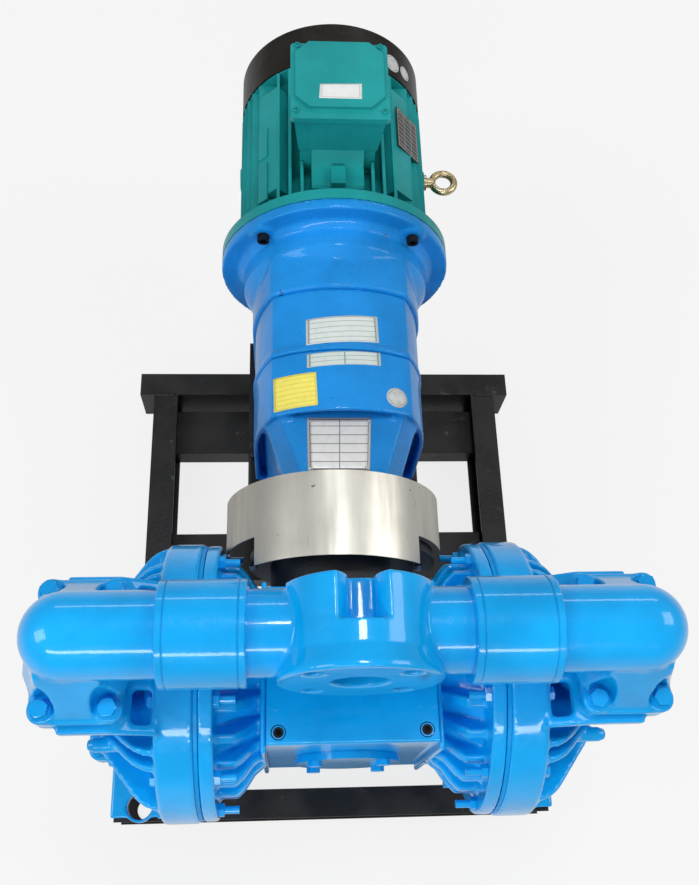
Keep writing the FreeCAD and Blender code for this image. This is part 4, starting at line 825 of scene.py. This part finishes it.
white_paper = label_finish("white_label", (0.66, 0.72, 0.70), (0.16, 0.22, 0.22), rows=5, columns=1,
                           roughness=0.4)
slim_paper = label_finish("slim_label", (0.60, 0.68, 0.66), (0.10, 0.20, 0.18), rows=3, columns=2,
                          roughness=0.4)
yellow_paper = label_finish("yellow_label", (0.95, 0.83, 0.15), (0.62, 0.50, 0.06), rows=7, columns=1,
                            roughness=0.45)
silver_plate = label_finish("silver_plate", (0.66, 0.66, 0.66), (0.10, 0.10, 0.10), rows=6, columns=2,
                            roughness=0.34, metallic=0.35)
gearbox_labels = {
    "white_label": ("middle_housing", white_paper,
                    ((-42.0, 368.5), (44.8, 373.3), (43.8, 408.7), (-41.7, 403.7))),
    "slim_label": ("output_housing", slim_paper,
                   ((-41.2, 338.7), (45.9, 342.2), (45.5, 359.5), (-41.0, 356.4))),
    "yellow_label": ("output_housing", yellow_paper,
                     ((-79.5, 288.4), (-29.1, 289.6), (-30.8, 332.2), (-80.5, 331.9))),
    "silver_plate": ("output_housing", silver_plate,
                     ((-41.0, 216.4), (29.6, 216.1), (33.2, 282.4), (-41.4, 282.5))),
}
for name, (carrier, finish, corners) in gearbox_labels.items():
    label = sheet_on(name, housings[carrier], [pump_place(*corner) for corner in corners], label_lift, finish)


def round_label(name, carrier, centre, radius, lift, finish, look):
    """A round sheet laid on the carrier: a square of points drawn out to a disc."""
    look = Vector(look).normalized()
    across = look.orthogonal().normalized()
    along = look.cross(across)

    def drawn_out(u, v):
        """Where a point of the square from -1 to 1 comes on the disc."""
        x, y = u * math.sqrt(1 - v * v / 2), v * math.sqrt(1 - u * u / 2)
        return Vector(centre) + (across * x + along * y) * radius

    shares = [2 * step / sheet_steps - 1 for step in range(sheet_steps + 1)]
    rows = [[drawn_out(u, v) for u in shares] for v in shares]
    return lay(name, carrier, rows, lift, finish, look)


def seal_finish():
    """A plain round seal: pale paper with a thin ring near its edge."""
    finish = Finish("round_seal")
    unrolled = finish.node("UVMap")
    u, v = finish.part(0, unrolled) - 0.5, finish.part(1, unrolled) - 0.5
    out = u.math("MAXIMUM", u.math("ABSOLUTE", u), v.math("ABSOLUTE", v))
    ring = (out > 0.38) * (out < 0.42)
    grime = finish.noise(150, 4).between(0.4, 0.7)
    paper = finish.mix(grime * 0.5, (0.62, 0.64, 0.63), (0.30, 0.31, 0.31))
    return finish.set(Base_Color=finish.mix(ring * 0.7, paper, (0.18, 0.20, 0.21)),
                      Roughness=0.4 + 0.1 * grime, Normal=finish.bump(finish.noise(500, 2), 0.00004))


seal = seal_finish()
seal_on_gearbox = round_label("round_label", housings["output_housing"], pump_place(63.6, 303.7),
                              radius=0.0125, lift=label_lift, finish=seal, look=(0, 0, -1))


def dome_plan():
    """A round head, flat on its seat."""
    plan = Plan("dome_head", "Radius", "Height")
    ball = plan.node("GeometryNodeMeshUVSphere", Segments=20, Rings=10, Radius=1.0)
    wide = plan.size("Radius")
    flat = plan.node("ShaderNodeCombineXYZ", X=wide, Y=wide, Z=plan.size("Height"))
    plan.place(plan.raised(ball, 0.0, flat))
    return plan


dome_head = dome_plan()
front_housing = skin_of(housings["output_housing"])
nail_spots = ((-37.4, 220.2), (26.0, 220.0), (29.6, 278.6), (-37.8, 278.7))
nail_lift = 0.0004
nail_seats = []
for spot in nail_spots:
    above = Vector(pump_place(*spot)) + Vector((0, 0, ray_reach))
    place = front_housing.ray_cast(above, Vector((0, 0, -1)))[0]
    nail_seats.append((tuple(place + Vector((0, 0, nail_lift))), (0, 0, 1)))
nails = dome_head.make("plate_nails", nail_seats, zinc, Radius=0.0021, Height=0.0012)
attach(nails, "pump_unit")


# Motor
# A totally enclosed motor: a finned frame with end shields, a terminal box on top and a nameplate
# on its right. Cast aluminium in satin teal, held to the gearbox by black socket screws.
motor_teal = sprayed("satin_teal", (0.010, 0.320, 0.330), roughness=0.40, coat=0.30, waves=0.0005,
                     grain=0.0005, edge=0.0012)
dress(motor_teal, "motor_frame", "drive_endshield", "rear_endshield", "terminal_box", "terminal_cover")
dress(black_oxide, "motor_bolts")
cover_face = 0.2078
cover_screw_seats = [
    (pump_place(side * half_width, y, cover_face), (0, 0, 1))
    for half_width, y in ((53.0, 628.0), (51.0, 729.0)) for side in (-1, 1)
]
cover_screws = pan_head.make("terminal_cover_screws", cover_screw_seats, motor_teal, Radius=0.0042,
                             Height=0.003, Slot=0.0010)
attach(cover_screws, "pump_unit")
white_sticker = label_finish("terminal_sticker", (0.80, 0.82, 0.81), (0.45, 0.47, 0.47), rows=1,
                             columns=1, roughness=0.35, margin=0.05)
sticker_corners = [
    pump_place(x, y, 0.22) for x, y in ((-25.8, 643.6), (25.6, 643.4), (26.3, 666.5), (-24.3, 665.1))
]
sticker = sheet_on("terminal_sticker", nodes["terminal_cover"], sticker_corners, lift=0.0004,
                   finish=white_sticker)
dark_plate = label_finish("motor_plate", (0.055, 0.052, 0.050), (0.66, 0.64, 0.60), rows=9, columns=3,
                          roughness=0.36, metallic=0.4)
plate_out = Vector((0.775, 0, 0.632))
plate_corners = [
    pump_place(82.0, 670.0, 0.098), pump_place(113.0, 670.0, 0.060),
    pump_place(113.0, 735.0, 0.060), pump_place(82.0, 735.0, 0.098),
]
nameplate = sheet_on("motor_plate", None, plate_corners, lift=0.0010, finish=dark_plate,
                     look=tuple(-plate_out))


# Lifting eye
# A forged steel eyebolt, screwed into the motor frame's right side to lift the motor by. Zinc-plated
# and yellow-passivated.
dress(plated("yellow_zinc", (0.62, 0.53, 0.33), (0.42, 0.33, 0.18), roughness=0.26), "eyebolt")


# Fan cover
# A deep-drawn sheet steel cover over the cooling fan, with a grille in its end. Sprayed near-black,
# brownish where dust lies on it, with two round seals stuck on its right.
def cover_paint():
    """Near-black with a brown cast, and dust where it faces up."""
    finish = Finish("fan_cover_black")
    soft_edge = finish.node("Bevel", {"samples": 4}, Radius=0.002)
    dust = finish.noise(12, 5).between(0.45, 0.7) * upward(finish)
    tone = finish.mix(finish.noise(5, 3), (0.006, 0.005, 0.0045), (0.013, 0.010, 0.008))
    tone = finish.mix(dust * 0.20, tone, (0.10, 0.075, 0.05))
    return finish.set(Base_Color=tone, Roughness=0.34 + 0.3 * dust, Specular_IOR_Level=0.16,
                      Normal=finish.bump(finish.noise(60, 2), 0.0006, soft_edge))


dress(cover_paint(), "fan_cover")
inside_cover = 0.135
cover_seals = {"cover_seal_high": (50.6, 0.5978, 0.0135), "cover_seal_low": (38.0, 0.5987, 0.0105)}
for name, (angle, y, radius) in cover_seals.items():
    out = Vector((math.cos(math.radians(angle)), 0, math.sin(math.radians(angle))))
    centre = Vector((0, y, axis_z)) + out * inside_cover
    round_label(name, nodes["fan_cover"], centre, radius, 0.0004, seal, -out)


# Working parts inside
# Shafts, gears, bearings and the yoke are turned and ground steel, with bronze bushes and valve
# seats, moulded fan and rubber balls.
machined = plated("machined_steel", (0.58, 0.58, 0.57), (0.42, 0.41, 0.39), roughness=0.22)
dress(machined, "crankshaft", "eccentric_bearing", "yoke", "crank_bearings", "diaphragm_plates",
      "gearbox_bearings", "layshaft", "layshaft_gear", "motor_bearings", "motor_pinion", "output_gear",
      "output_shaft", "rotor", "stator")
cast_hub = plated("cast_hub", (0.20, 0.20, 0.20), (0.12, 0.115, 0.11), roughness=0.5)
dress(cast_hub, "coupling_hub_gearbox", "coupling_hub_pump")
dress(plated("bronze", (0.55, 0.34, 0.14), (0.38, 0.22, 0.09), roughness=0.3), "rod_bushes", "valve_seats")


def moulded(name, color, roughness):
    """Rubber or plastic as it leaves the mould."""
    darker = tuple(part * 0.75 for part in color)
    return one_tone(name, color, darker, patches=(40, 3), roughness=roughness, grain=(800, 2), depth=0.0001)


dress(moulded("ball_rubber", (0.020, 0.020, 0.021), roughness=0.55), "discharge_ball_left",
      "discharge_ball_right", "suction_ball_left", "suction_ball_right")
dress(moulded("fan_plastic", (0.055, 0.055, 0.057), roughness=0.4), "cooling_fan")
